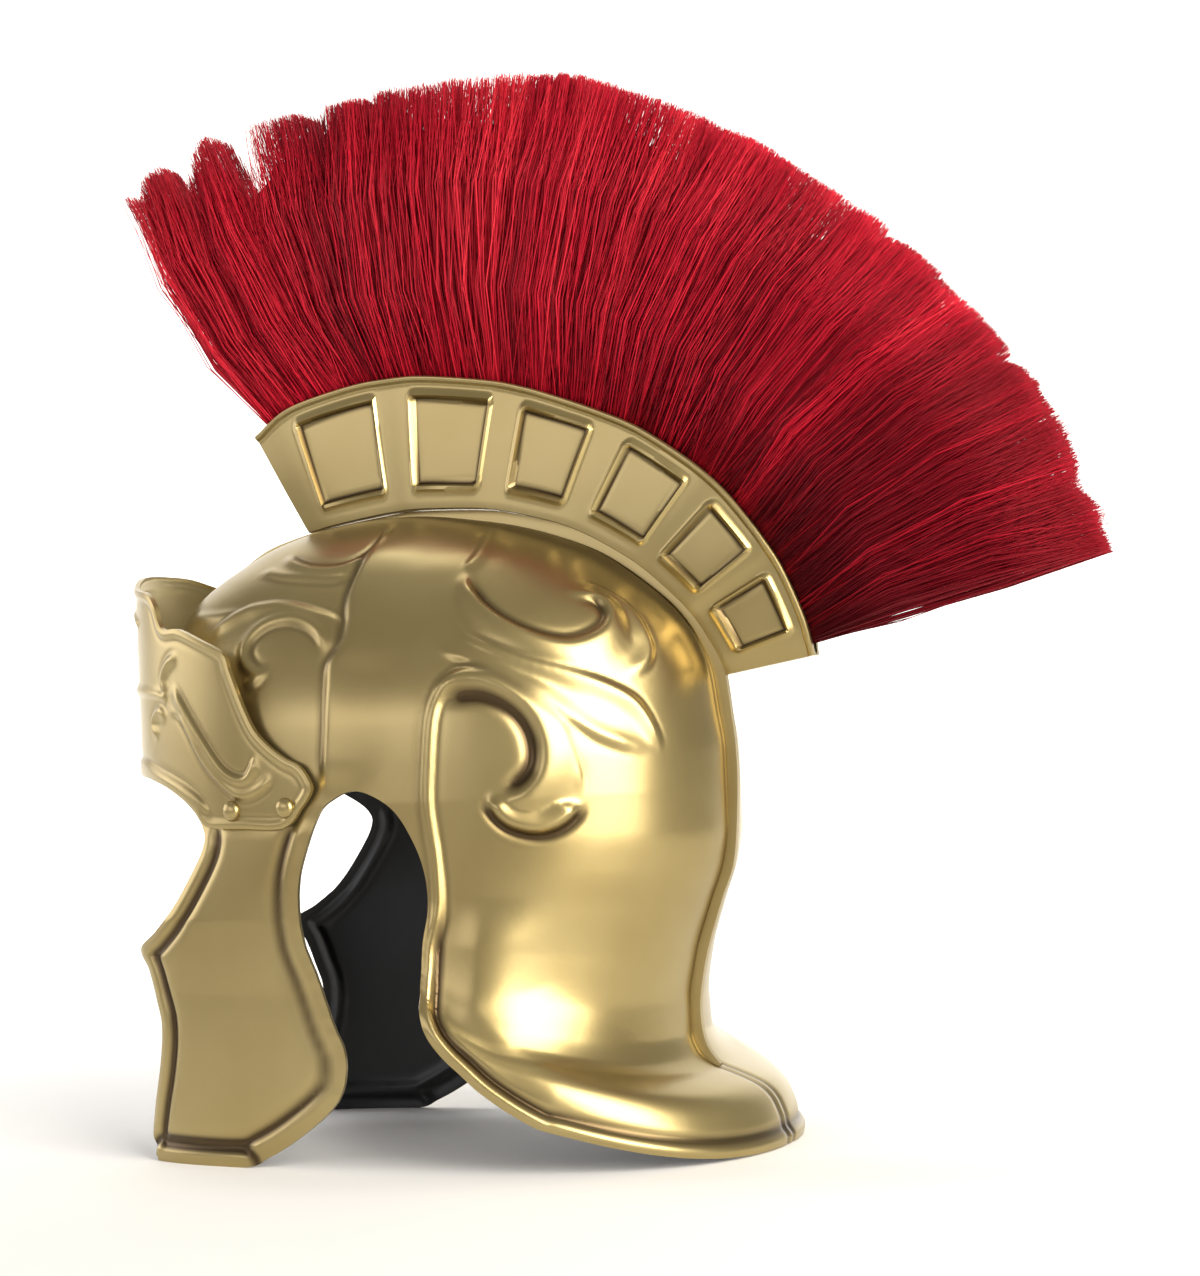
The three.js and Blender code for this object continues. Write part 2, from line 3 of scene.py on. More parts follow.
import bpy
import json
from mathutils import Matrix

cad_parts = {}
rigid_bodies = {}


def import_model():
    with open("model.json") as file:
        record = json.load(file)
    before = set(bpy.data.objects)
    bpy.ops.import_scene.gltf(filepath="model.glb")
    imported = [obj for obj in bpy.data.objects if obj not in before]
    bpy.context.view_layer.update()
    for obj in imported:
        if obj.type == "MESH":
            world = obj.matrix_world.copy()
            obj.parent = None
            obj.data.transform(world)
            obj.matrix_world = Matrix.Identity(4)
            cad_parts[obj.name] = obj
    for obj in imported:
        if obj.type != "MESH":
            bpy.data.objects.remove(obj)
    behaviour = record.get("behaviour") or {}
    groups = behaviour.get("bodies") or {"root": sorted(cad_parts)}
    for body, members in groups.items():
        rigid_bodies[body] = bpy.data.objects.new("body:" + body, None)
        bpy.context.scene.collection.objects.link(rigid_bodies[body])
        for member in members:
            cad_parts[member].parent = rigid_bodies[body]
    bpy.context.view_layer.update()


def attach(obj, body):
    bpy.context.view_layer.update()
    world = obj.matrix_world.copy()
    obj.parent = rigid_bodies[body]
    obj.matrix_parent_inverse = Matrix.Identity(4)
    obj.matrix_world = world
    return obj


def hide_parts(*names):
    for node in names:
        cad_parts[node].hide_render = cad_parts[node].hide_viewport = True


bl_info = {
    "name": "Roman Helmet",
    "version": (1, 0, 0),
    "blender": (4, 5, 0),
    "location": "View3D > Sidebar > Helmet",
    "description": "Builds a gold roman helmet with a fan-shaped brush crest",
    "category": "Object",
}

import json
import math

import bmesh
import bpy
import numpy as np
from mathutils import Matrix, Vector

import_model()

MM = 0.001
HALF_GAP = 0.02
SHARP_EDGE = 35
CENTRE_Y = 0.6
CROWN_Z = 254.0
BROW_Z = 140.0
MIDDLE_Y = -62
FACE_HALF_WIDTH = 84
FACE_REACH = 127

# Crown above the brow height: angle over the horizon, y.
CROWN_FRONT = np.array([
    (0, -189), (12.7, -189), (26, -187.5), (34.8, -184), (46, -175), (51.3, -167),
    (57.8, -155), (64.6, -143), (69.8, -132), (75.8, -118), (84, -98), (90, -80),
], float)
CROWN_REAR = np.array([
    (0, 52), (7, 52), (15.3, 50), (23.2, 48), (31.8, 42), (37.9, 35), (48.2, 18),
    (56.9, 2), (64, -15), (70.6, -32), (78, -54), (84, -68), (90, -80),
], float)
# Angle over the horizon, half width.
CROWN_SIDE = np.array([
    (0, 84), (15, 82.5), (30, 75), (50, 57), (65, 39), (75, 25.5), (84, 12), (90, 0),
], float)
# Wall under the brow height: drop, rear y, rear z, half width.
BODY = np.array([
    (0, 52, 140, 84), (0.11, 51.8, 125, 84), (0.22, 49.5, 111, 84), (0.34, 43.5, 95, 84.3),
    (0.47, 36.5, 75, 85), (0.6, 33, 56, 86.5), (0.7, 33, 44, 88.5), (0.76, 35.5, 36.5, 90),
    (0.81, 41, 31, 91.5), (0.85, 49.5, 26.5, 93), (0.89, 59.5, 21, 94.5),
    (0.93, 65.5, 15, 95.7), (0.97, 69.5, 7, 96.3), (1, 70, 0.5, 96.5),
], float)
# Neck guard's edge: angle round from the face, z.
NECK_EDGE = np.array([
    (90, 48), (95, 38), (100, 30), (109, 20), (118, 14.5), (127, 9.8), (136, 6), (145, 3.2),
    (155, 1.3), (166, 0.5), (180, 0.3),
], float)

# Side view of one half of the shell, y and z: brow edge, cheek guard, ear arch.
SHELL_EDGE = [
    (-186, 158), (-168, 150), (-150, 139), (-142, 131), (-142, 124), (-149, 112),
    (-158, 100), (-168, 91), (-178, 84), (-173, 76), (-169, 64), (-166.5, 54), (-168, 40),
    (-173, 20), (-175, 7), (-171.5, 1.5), (-168, 0), (-128, 0), (-117, 3.5), (-103, 11),
    (-88, 22), (-81.5, 31), (-80, 44), (-85, 57), (-91, 75), (-95.5, 87), (-97, 100),
    (-96, 112), (-92, 124), (-86, 137), (-80, 142), (-72, 145), (-64, 143.5), (-54, 137),
    (-46.5, 125), (-42.5, 113), (-41.5, 100), (-43.5, 85), (-43, 66), (-39, 54), (-33, 46),
    (-26, 39.5), (-19, 33), (-11, 27), (-3, 21.7), (5, 17),
]
SHELL_FAR_CORNERS = [(5, -20), (130, -20), (130, 300), (-230, 300), (-230, 160)]
CHEEK_FRONT = slice(3, 18)
CHEEK_REAR = slice(16, 31)
NECK_EDGE_SPAN = slice(33, 47)

# Leaf edges pressed into the shell, each with the side its raised body lies on (1 left of the
# path, -1 right of it), its height and flank, and rows of y, z, width of the body.
SHELL_LEAVES = {
    "rear_scroll": (-1, 2.6, 2.4, [
        (-32.3, 227.9, 4), (-30.1, 222.2, 6), (-25, 216.5, 9), (-19.5, 212, 11),
        (-12.3, 207.4, 13), (-4.5, 203.6, 14), (2.8, 200.9, 15), (9.6, 199.8, 16),
        (15.1, 201.5, 16), (18.5, 204.8, 13), (18.5, 209.4, 9), (15, 213.5, 6),
        (9.2, 215.4, 5), (3.6, 216, 4)]),
    "rear_arch": (-1, 1.2, 1.4, [
        (2.6, 218, 5), (5.5, 220.7, 6), (10, 221.3, 7), (16.3, 218.2, 8), (22.8, 213.7, 9),
        (29, 207.1, 9), (33.3, 200, 9), (35.5, 194, 8), (35.3, 188.2, 7), (32.3, 185, 6),
        (27.2, 183.1, 5)]),
    "rear_stem": (1, 0.9, 1.4, [
        (-37, 247, 8), (-34.7, 243.3, 8), (-33.9, 235.2, 7), (-36.6, 228.5, 5)]),
    "leaf_top": (-1, 1.7, 1.5, [
        (-32.4, 205.7, 5), (-24, 201.5, 5), (-14.3, 197.2, 6), (-3, 192.8, 7),
        (11.1, 188.3, 8), (22.7, 183.3, 8), (32, 176.7, 8), (37.2, 167.3, 7),
        (40.1, 157.6, 5), (38.8, 154.6, 3)]),
    "leaf_vein": (-1, 0.8, 1.2, [
        (-32.8, 201.1, 4), (-23.4, 196.8, 4), (-11.8, 192.6, 5), (0.9, 188.9, 5),
        (13, 184.9, 5), (21.3, 181.1, 4)]),
    "leaf_foot": (1, 1.7, 1.5, [
        (-40, 196.9, 4), (-24.7, 191.5, 5), (-13, 186.2, 6), (-1.7, 178.8, 7),
        (8.8, 170.4, 8), (18.7, 162.7, 7), (27.9, 157.7, 6), (38.8, 154.6, 3)]),
    "ear_scroll": (1, 3.4, 5.0, [
        (-34.5, 175.8, 4), (-32.1, 178.3, 5), (-28.1, 180.7, 6), (-21.8, 181.2, 8),
        (-16.1, 179.8, 9), (-10.1, 176.5, 11), (-4.9, 171.9, 14), (-1, 165.2, 17),
        (0.6, 157.3, 18), (-0.5, 150.6, 17), (-4.5, 145.5, 14), (-9.6, 143.1, 11),
        (-15.4, 143.3, 6)]),
    "ear_hook": (1, 3.0, 3.4, [
        (-17.9, 142.7, 4), (-17.3, 138.9, 6), (-14.9, 134, 8), (-10.4, 129.6, 10),
        (-4.4, 127.1, 12), (1.8, 126.4, 12), (8, 128.3, 12), (13.1, 132.6, 11),
        (15.9, 138.5, 9)]),
    "ear_arch": (-1, 1.3, 1.6, [
        (-32.5, 184.9, 4), (-27.5, 187.6, 6), (-20.5, 187.6, 6), (-11.1, 184.9, 7),
        (0, 179.1, 8), (8.8, 169.6, 9), (14.1, 157.3, 9), (16.2, 145.9, 9), (15.9, 138.5, 8)]),
    "brow_scroll": (-1, 2.0, 2.2, [
        (-86.6, 197.8, 5), (-89.4, 203.8, 6), (-95.6, 208.4, 7), (-104.2, 210.8, 7),
        (-112.9, 210, 7), (-119, 206.8, 7), (-122, 202.2, 6), (-120.9, 197.8, 5),
        (-116.2, 194.1, 4), (-110.3, 194.2, 3)]),
    "brow_hook": (-1, 1.4, 1.6, [
        (-111, 192.4, 3), (-115.8, 187.8, 4), (-121.9, 185.7, 4)]),
    "brow_arch": (-1, 1.4, 1.8, [
        (-147.1, 206.6, 4), (-144.6, 211.3, 5), (-137.3, 215.3, 6), (-129.1, 219, 7),
        (-121.5, 220.1, 8), (-112.3, 220.4, 8), (-101.9, 218.6, 8), (-91.6, 215.7, 7),
        (-82.4, 212, 6), (-78.9, 206.4, 5), (-79, 200.3, 5), (-84, 195.4, 4)]),
    "front_step": (1, 2.0, 3.0, [
        (-78, 250, 16), (-77, 241, 20), (-79.5, 231, 24), (-80.5, 220, 26), (-78.5, 209, 26),
        (-79.5, 201, 26), (-83.6, 194.5, 27), (-83.3, 184.2, 28), (-83, 172.7, 28),
        (-83.5, 161.2, 26), (-84.2, 151.6, 22), (-84.5, 142.1, 18)]),
    "temple_leaf": (1, 1.4, 1.6, [
        (-131.2, 232.6, 4), (-116.4, 229.1, 5), (-100.2, 226.9, 6), (-86.9, 226.2, 5),
        (-80.3, 228.9, 4)]),
    "crown_leaf": (-1, 1.8, 2.2, [
        (-119.6, 240.6, 4), (-110.6, 236.5, 5), (-98.7, 233.7, 6), (-86.9, 233.8, 6),
        (-79.8, 237.4, 5), (-76.5, 243, 5), (-77.9, 249.6, 4)]),
    "brow_mark": (-1, 0.9, 1.8, [
        (-164.2, 218.6, 5), (-148, 218, 5), (-137.4, 218.2, 5), (-129.3, 219.3, 4)]),
}
# Share of a leaf edge over which it rises from nothing, and its groove's depth by its height.
LEAF_FADE = 0.14
LEAF_GROOVE = 0.42
# Rounded rim that leaves the ear arch upwards: y, z.
EAR_RIM = [
    (-38.4, 86), (-37.6, 96), (-37.4, 108), (-38.2, 120), (-39.4, 130), (-40.3, 140.9),
    (-39.5, 156), (-38.2, 171.1), (-35.9, 180), (-32.5, 184.9), (-27.5, 187.6), (-20.5, 187.6),
    (-11.1, 184.9), (0, 179.1),
]

# Crest holder stations, front to rear: foot y and z, lip y and z, brush length.
STATIONS = np.array([
    (-127, 250.3, -150, 292.1, 123), (-116.5, 252.2, -132.6, 302.8, 121),
    (-87.4, 255.9, -93.1, 310.6, 116), (-75.1, 256.5, -75.8, 311, 118),
    (-47.8, 255.1, -37, 305.9, 124), (-34.9, 253, -23, 302.2, 125),
    (-12, 246.9, 8, 290.5, 123), (-1.5, 242.5, 23, 283.5, 119),
    (19, 230.2, 48.5, 265.5, 116), (24.5, 225.6, 58, 256.3, 116),
    (38.9, 211.5, 73.5, 235.5, 118), (42.8, 206, 79.3, 225.2, 120),
    (51.6, 189.6, 88.4, 200.8, 121), (53.2, 183.4, 90.2, 189.5, 121),
], float)
FLANGE_FRONT = [
    (-191, 156), (-191, 172), (-189.5, 190), (-186, 206), (-177, 223), (-169, 230.5),
    (-157, 238.5), (-145, 245),
]
FLANGE_REAR = [
    (54.2, 172), (55.8, 154), (55.6, 136), (53, 111), (47, 95), (40.2, 75), (36.6, 58),
    (36.4, 47), (38.4, 38), (43.5, 31),
]
LAST = len(STATIONS) - 1
# Half widths of the seam flange at its root and lip, and steps along the profile under it.
FLANGE_ROOT = 1.95
FLANGE_LIP = 1.5
FLANGE_STEPS = 160
HOLDER_THIN = 2.5
HOLDER_BULGE = 9.0
PANEL_CORNER = 3.0

PLATE_SIDE = 87.4
PLATE_REACH = 137.0
PLATE_POWER = 2 / 2.3
PLATE_END = 83
PLATE_SPAN = (237, 130.5)
# Brow plate edges: angle round from the face, z.
PLATE_TOP = [
    (0, 236), (6, 235.7), (12, 234.5), (22, 230.5), (32, 228), (38, 226.5), (42, 222),
    (45.5, 212), (52, 211), (58.8, 206.2), (64.8, 200.5), (66.3, 193.7), (67.8, 185.8),
    (69.4, 177.9), (71.4, 170), (74, 164), (77.2, 158.7), (79.8, 155.5), (81.6, 149),
]
PLATE_BOTTOM = [
    (81.6, 145), (80, 139.5), (76.6, 131.8), (68, 131.8), (59, 132.6), (55.5, 138.4),
    (52, 143.3), (46, 148.2), (39, 151), (33, 152.2), (20, 153), (0, 154),
]
# Leaf edges pressed into the plate: side, height, flank, rows of angle, z, width of the body.
PLATE_LEAVES = {
    "band_top": (-1, 1.5, 1.8, [
        (50.4, 190.2, 5), (51.4, 186.2, 5), (55.2, 176.9, 5), (59.4, 166.8, 5),
        (63.7, 156.8, 5), (66.8, 152.8, 5), (69.1, 152.7, 5), (70.3, 156.5, 5),
        (71.2, 159.5, 4), (73.1, 159.4, 4)]),
    "band_foot": (1, 1.5, 1.6, [
        (47, 176.9, 4), (51, 175.9, 5), (54.8, 167, 5), (57.7, 159, 5), (61.7, 151, 5),
        (66.6, 143.8, 5), (70, 143.3, 5), (72.6, 145.5, 5), (74.3, 148.5, 4), (75, 153.1, 4)]),
    "curl_top": (1, 1.3, 1.6, [
        (51.9, 201.6, 4), (48, 200.4, 5), (45.2, 196.1, 5), (43.9, 190.6, 5), (46, 184.5, 4)]),
    "curl_foot": (1, 1.3, 1.6, [
        (47, 176.9, 4), (43.4, 181, 5), (39.2, 177.5, 5), (38.2, 172.3, 5), (41.6, 166.6, 4)]),
    "eye_rim": (-1, 1.2, 1.8, [
        (4, 160.8, 7), (22, 160.2, 7), (34, 158.8, 7), (42.1, 155.4, 7), (50.8, 150.5, 7),
        (56.7, 144.9, 6), (59.5, 140.1, 6), (60.7, 134.6, 5)]),
    "peak_mark": (1, 0.9, 1.4, [(41.9, 221.7, 4), (45.3, 218.2, 4), (47.8, 213.9, 4)]),
}
# Rounded ropes on the plate: height, rows of angle, z, width.
PLATE_ROPES = {
    "bridge": (1.6, [(0, 188, 5), (14, 188, 5), (26.6, 188, 5), (39.2, 186.4, 4), (46, 184.5, 3)]),
    "fan": (1.5, [(6, 196, 3), (9, 207, 6), (15, 215, 5), (22, 219, 4), (29, 215, 3)]),
}
RIVET_LIFT = 0.2
RIVET_RISE = 0.62
# Rivets: angle round from the face, z.
RIVETS = [(65.6, 138.8), (77.0, 139.5), (-65.6, 138.8), (-77.0, 139.5)]

BRUSH_PIECES = 3
BRISTLE_REFERENCE = 125.0
BRISTLE_SHAPES = 8
ROOT_DEPTH = 5.0
REAR_LIFT = 0.043
BRISTLE_RINGS = 4
CORE_STEPS = 120
# Notches in the brush's outer edge: place along the fan (0 front to 1 rear), depth, width.
BRUSH_NOTCHES = [
    (0.012, 5, 0.005), (0.051, 16, 0.006), (0.062, 10, 0.009), (0.096, 26, 0.0055),
    (0.139, 5, 0.005), (0.205, 6, 0.006), (0.33, 4, 0.006), (0.47, 3, 0.010),
    (0.63, 4, 0.010), (0.78, 4, 0.010), (0.9, 5, 0.010),
]

SWEEP_BEND = 0.7
LIGHT_BASE = 0.15
LIGHT_AIM = 0.16
# Softboxes: turn from the wearer's left and rise, distance, size, power, colour, spread.
SOFTBOXES = [
    ("window softbox", 55, 20, 1.25, (0.9, 1.0), 14, "#fffaf0", 120),
    ("side softbox", -26, 14, 1.5, (1.3, 0.5), 2.1, "#f8f5ff", 140),
    ("face softbox", -82, 14, 1.3, (0.8, 0.6), 2.2, "#fbf8ff", 140),
]


def along(table, x, column=1):
    """Monotone cubic through one column of a table whose column 0 rises."""
    xs, ys = table[:, 0], table[:, column]
    x = np.clip(np.asarray(x, float), xs[0], xs[-1])
    step = np.diff(xs)
    slope = np.diff(ys) / step
    tangent = np.empty(len(xs))
    tangent[0], tangent[-1] = slope[0], slope[-1]
    a, b = slope[:-1], slope[1:]
    total = np.where(np.abs(a + b) < 1e-12, 1, a + b)
    tangent[1:-1] = np.where(a * b <= 0, 0, 2 * a * b / total)
    k = np.clip(np.searchsorted(xs, x) - 1, 0, len(step) - 1)
    t = (x - xs[k]) / step[k]
    return (
        ys[k] * (1 + 2 * t) * (1 - t) ** 2
        + ys[k + 1] * t * t * (3 - 2 * t)
        + tangent[k] * step[k] * t * (1 - t) ** 2
        - tangent[k + 1] * step[k] * t * t * (1 - t)
    )


def unit(v):
    return v / np.maximum(np.linalg.norm(v, axis=-1, keepdims=True), 1e-12)


def smooth_path(rows, step=2.0):
    """Catmull-Rom curve through rows, cut into pieces of about one step."""
    rows = np.asarray(rows, float)
    padded = np.vstack([2 * rows[0] - rows[1], rows, 2 * rows[-1] - rows[-2]])
    out = []
    for i in range(len(rows) - 1):
        p0, p1, p2, p3 = padded[i:i + 4]
        count = max(2, int(np.linalg.norm(p2[:2] - p1[:2]) / step) + 1)
        t = np.linspace(0, 1, count, endpoint=False)[:, None]
        out.append(0.5 * (2 * p1 + (p2 - p0) * t + (2 * p0 - 5 * p1 + 4 * p2 - p3) * t ** 2
                          + (3 * p1 - p0 - 3 * p2 + p3) * t ** 3))
    out.append(rows[-1:])
    return np.vstack(out)


def path_distance(points, path):
    """Distance from each point to a polyline, and the place along it as a vertex number."""
    best = np.full(len(points), 1e9)
    place = np.zeros(len(points))
    for i, (a, b) in enumerate(zip(path[:-1], path[1:])):
        edge = b - a
        t = np.clip((points - a) @ edge / max(edge @ edge, 1e-12), 0, 1)
        d = np.linalg.norm(points - a - t[:, None] * edge, axis=1)
        near = d < best
        best[near] = d[near]
        place[near] = i + t[near]
    return best, place


def inside_distance(points, outline):
    """Distance to a closed outline, positive inside it."""
    loop = np.vstack([outline, outline[:1]])
    d, _ = path_distance(points, loop)
    inside = np.zeros(len(points), bool)
    x, y = points[:, 0], points[:, 1]
    for (x1, y1), (x2, y2) in zip(loop[:-1], loop[1:]):
        crosses = (y1 > y) != (y2 > y)
        if y1 != y2:
            inside ^= crosses & (x < (x2 - x1) * (y - y1) / (y2 - y1) + x1)
    return np.where(inside, d, -d)


def soften(field):
    """Evens a grid of heights over its next neighbours, twice."""
    for _ in range(2):
        for axis in (0, 1):
            field = np.swapaxes(field, 0, axis)
            padded = np.pad(field, ((1, 1), (0, 0)), "edge")
            field = np.swapaxes((padded[:-2] + 2 * field + padded[2:]) / 4, 0, axis)
    return field


def rope(distance, half_width, height):
    """Rounded ridge."""
    t = np.clip(distance / half_width, 0, 1)
    return height * (1 - t * t) ** 1.5


def trench(distance, half_width, depth):
    return depth * np.exp(-((distance / half_width) ** 2))


def press_leaf(raised, sunk, points, spine, flat, path, leaf):
    """Adds one leaf edge to the raised and sunk heights. Distances are taken to the spine, and
    the side of the path in the flat view."""
    side, height, flank, _ = leaf
    d, place = path_distance(points, spine)
    k = np.clip(place.astype(int), 0, len(path) - 2)
    edge = path[k + 1, :2] - path[k, :2]
    away = flat - path[k, :2]
    d = d * side * np.sign(edge[:, 0] * away[:, 1] - edge[:, 1] * away[:, 0])
    share = place / (len(path) - 1)
    fade = ease(share, 0, LEAF_FADE) * ease(1 - share, 0, LEAF_FADE)
    slim = 0.5 * flank * (0.45 + 0.55 * fade)
    body = np.interp(place, np.arange(len(path)), path[:, 2])
    foot, brow = -0.35 * flank, 0.65 * flank
    rise = ease(d, foot, brow) * (1 - ease(d, brow, body + flank))
    np.maximum(raised, height * rise * fade, out=raised)
    np.maximum(sunk, trench(d - foot, slim, LEAF_GROOVE * height) * fade, out=sunk)


def ease(x, low, high):
    t = np.clip((x - low) / (high - low), 0, 1)
    return t * t * (3 - 2 * t)


def grid_faces(rows, columns, height=None):
    """Triangles over a grid of points, facing out where columns step to the right of rows. Each
    square is cut along the diagonal on which the height changes least."""
    i, j = np.meshgrid(np.arange(rows - 1), np.arange(columns - 1), indexing="ij")
    a = (i * columns + j).ravel()
    b, c, d = a + 1, a + columns + 1, a + columns
    one, other = [np.vstack([np.stack(corners, 1) for corners in pair])
                  for pair in (((a, b, c), (a, c, d)), ((a, b, d), (b, c, d)))]
    if height is None:
        return one
    turned = np.abs(height[a] - height[c]) > np.abs(height[b] - height[d])
    return np.where(np.tile(turned, 2)[:, None], other, one)


def clip(tris, value, *fields):
    """Keeps the part of a triangle mesh where value is positive, cutting the fields with it."""
    fields = [list(f) for f in fields]
    cuts = {}

    def cut(a, b):
        key = (min(a, b), max(a, b))
        if key not in cuts:
            t = value[a] / (value[a] - value[b])
            for f in fields:
                f.append(f[a] + (f[b] - f[a]) * t)
            cuts[key] = len(fields[0]) - 1
        return cuts[key]

    keep = value[tris] > 0
    whole = keep.all(1)
    mixed = keep.any(1) & ~whole
    new = []
    for tri, flags in zip(tris[mixed], keep[mixed]):
        loop = []
        for k in range(3):
            a, b = tri[k], tri[(k + 1) % 3]
            if flags[k]:
                loop.append(a)
            if flags[k] != flags[(k + 1) % 3]:
                loop.append(cut(a, b))
        new += [(loop[0], loop[k], loop[k + 1]) for k in range(1, len(loop) - 1)]
    tris = np.vstack([tris[whole], np.array(new, int).reshape(-1, 3)])
    return tris, [np.array(f) for f in fields]


def thicken(front, back, tris, sunk=None):
    """Closed sheet between two sets of points: points, faces, the kind of each face (0 front, 1
    back) and the groove depth at each point."""
    used, tris = np.unique(tris, return_inverse=True)
    tris = tris.reshape(-1, 3)
    front, back = front.reshape(-1, 3)[used], back.reshape(-1, 3)[used]
    edges = np.vstack([tris[:, [0, 1]], tris[:, [1, 2]], tris[:, [2, 0]]])
    _, first, count = np.unique(
        np.sort(edges, axis=1), axis=0, return_index=True, return_counts=True)
    n = len(front)
    a, b = edges[first[count == 1]].T
    walls = np.vstack([np.stack([b, a, a + n], 1), np.stack([b, a + n, b + n], 1)])
    faces = np.vstack([tris, tris[:, ::-1] + n, walls])
    kinds = np.concatenate([np.zeros(len(tris)), np.ones(len(tris)), np.zeros(len(walls))])
    depth = np.zeros(2 * n)
    if sunk is not None:
        depth[:n] = sunk[used]
    return np.vstack([front, back]), faces, kinds.astype(int), depth


def add_object(name, data):
    """New object of that data in the scene."""
    obj = bpy.data.objects.new(name, data)
    bpy.context.scene.collection.objects.link(obj)
    return obj


def new_mesh(name, points, faces=()):
    """Mesh on the frame from points in millimetres."""
    mesh = bpy.data.meshes.new(name)
    mesh.from_pydata(((points - np.array([0, CENTRE_Y, 0])) * MM).tolist(), [], list(faces))
    return mesh


def write_field(mesh, name, values):
    """Keeps a number or a vector for each point under a name."""
    values = np.asarray(values)
    whole, vector = values.dtype.kind == "i", values.ndim == 2
    kind = "INT" if whole else "FLOAT_VECTOR" if vector else "FLOAT"
    layer = mesh.attributes.new(name, kind, "POINT")
    values = values.astype(np.int32 if whole else np.float32)
    layer.data.foreach_set("vector" if vector else "value", values.ravel())


def make_mesh(name, points, faces, kinds, depth, materials, thin=0.0, back=None):
    """Object from points in millimetres: facing outwards, smooth between sharp edges, with the
    groove depth kept as the mask of the painted shade in its grooves, and its back thinned to a
    share of the triangles."""
    mesh = new_mesh(name, points, faces.tolist())
    for material in materials:
        mesh.materials.append(material)
    mesh.polygons.foreach_set("material_index", np.asarray(kinds, np.int32))
    # The groove depth, kept as "hollow", masks the painted shade in the gold.
    write_field(mesh, "hollow", depth)
    obj = add_object(name, mesh)
    if thin:
        thin_back(obj, faces, np.flatnonzero(kinds == 1) if back is None else back, thin)
    weld(obj.data)
    obj.data.shade_smooth()
    obj.data.set_sharp_from_angle(angle=math.radians(SHARP_EDGE))
    return obj


def bake(obj, modifier):
    """Puts the modified mesh in the place of the object's own, and drops the modifier."""
    bpy.context.view_layer.update()
    evaluated = obj.evaluated_get(bpy.context.evaluated_depsgraph_get())
    mesh = bpy.data.meshes.new_from_object(evaluated)
    obj.modifiers.remove(modifier)
    old, obj.data = obj.data, mesh
    name = old.name
    bpy.data.meshes.remove(old)
    mesh.name = name


def thin_back(obj, faces, back, share):
    """Collapses the triangles of the plain back only."""
    inner = np.ones(len(obj.data.vertices), bool)
    inner[np.unique(np.delete(faces, back, axis=0))] = False
    group = obj.vertex_groups.new(name="back")
    group.add(np.flatnonzero(inner).tolist(), 1.0, "REPLACE")
    modifier = obj.modifiers.new("thin", "DECIMATE")
    modifier.vertex_group = "back"
    modifier.ratio = share
    bake(obj, modifier)
    obj.vertex_groups.clear()


def weld(mesh):
    """Joins points that coincide and drops slivers."""
    work = bmesh.new()
    work.from_mesh(mesh)
    bmesh.ops.remove_doubles(work, verts=work.verts, dist=2e-6)
    bmesh.ops.dissolve_degenerate(work, edges=work.edges, dist=1e-6)
    work.to_mesh(mesh)
    work.free()


def mirrored(points, faces):
    return points * np.array([-1, 1, 1]), faces[:, ::-1]


def settle(obj, slot, *nodes):
    """Ties a finished piece to the frame."""
    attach(obj, "root")
    if nodes:
        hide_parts(*nodes)


def linear(colour):
    """Scene-linear RGBA of an sRGB hex colour."""
    parts = [int(colour[i:i + 2], 16) / 255 for i in (1, 3, 5)]
    return (*[c / 12.92 if c <= 0.04045 else ((c + 0.055) / 1.055) ** 2.4 for c in parts], 1)


def add_node(tree, kind, inputs=(), **settings):
    """Adds a node, sets its properties, then its inputs to values, sockets or the first shown
    output of other nodes."""
    node = tree.nodes.new(kind)
    for key, value in settings.items():
        setattr(node, key, value)
    for key, value in dict(inputs).items():
        if isinstance(value, bpy.types.Node):
            value = next(item for item in value.outputs if item.enabled)
        if isinstance(value, bpy.types.NodeSocket):
            tree.links.new(value, socket(node, key))
        else:
            socket(node, key).default_value = value
    return node


def socket(node, key):
    """The shown input of that name or number."""
    if isinstance(key, int):
        return node.inputs[key]
    return next(item for item in node.inputs if item.name == key and item.enabled)


def new_material(name):
    material = bpy.data.materials.new(name)
    material.use_nodes = True
    material.node_tree.nodes.clear()
    return material, material.node_tree


def finish_material(tree, inputs):
    """Principled surface with these inputs."""
    shader = add_node(tree, "ShaderNodeBsdfPrincipled", inputs)
    add_node(tree, "ShaderNodeOutputMaterial", {"Surface": shader})


def attribute(tree, name):
    return add_node(tree, "ShaderNodeAttribute", attribute_name=name).outputs["Fac"]


def noise(tree, scale, detail):
    place = add_node(tree, "ShaderNodeTexCoord").outputs["Object"]
    return add_node(tree, "ShaderNodeTexNoise", {
        "Vector": place, "Scale": scale, "Detail": detail})


def set_ramp(node, stops):
    """Gives a colour ramp these positions and colours."""
    elements = node.color_ramp.elements
    while len(elements) < len(stops):
        elements.new(0.5)
    for element, (position, colour) in zip(elements, stops):
        element.position = position
        element.color = colour


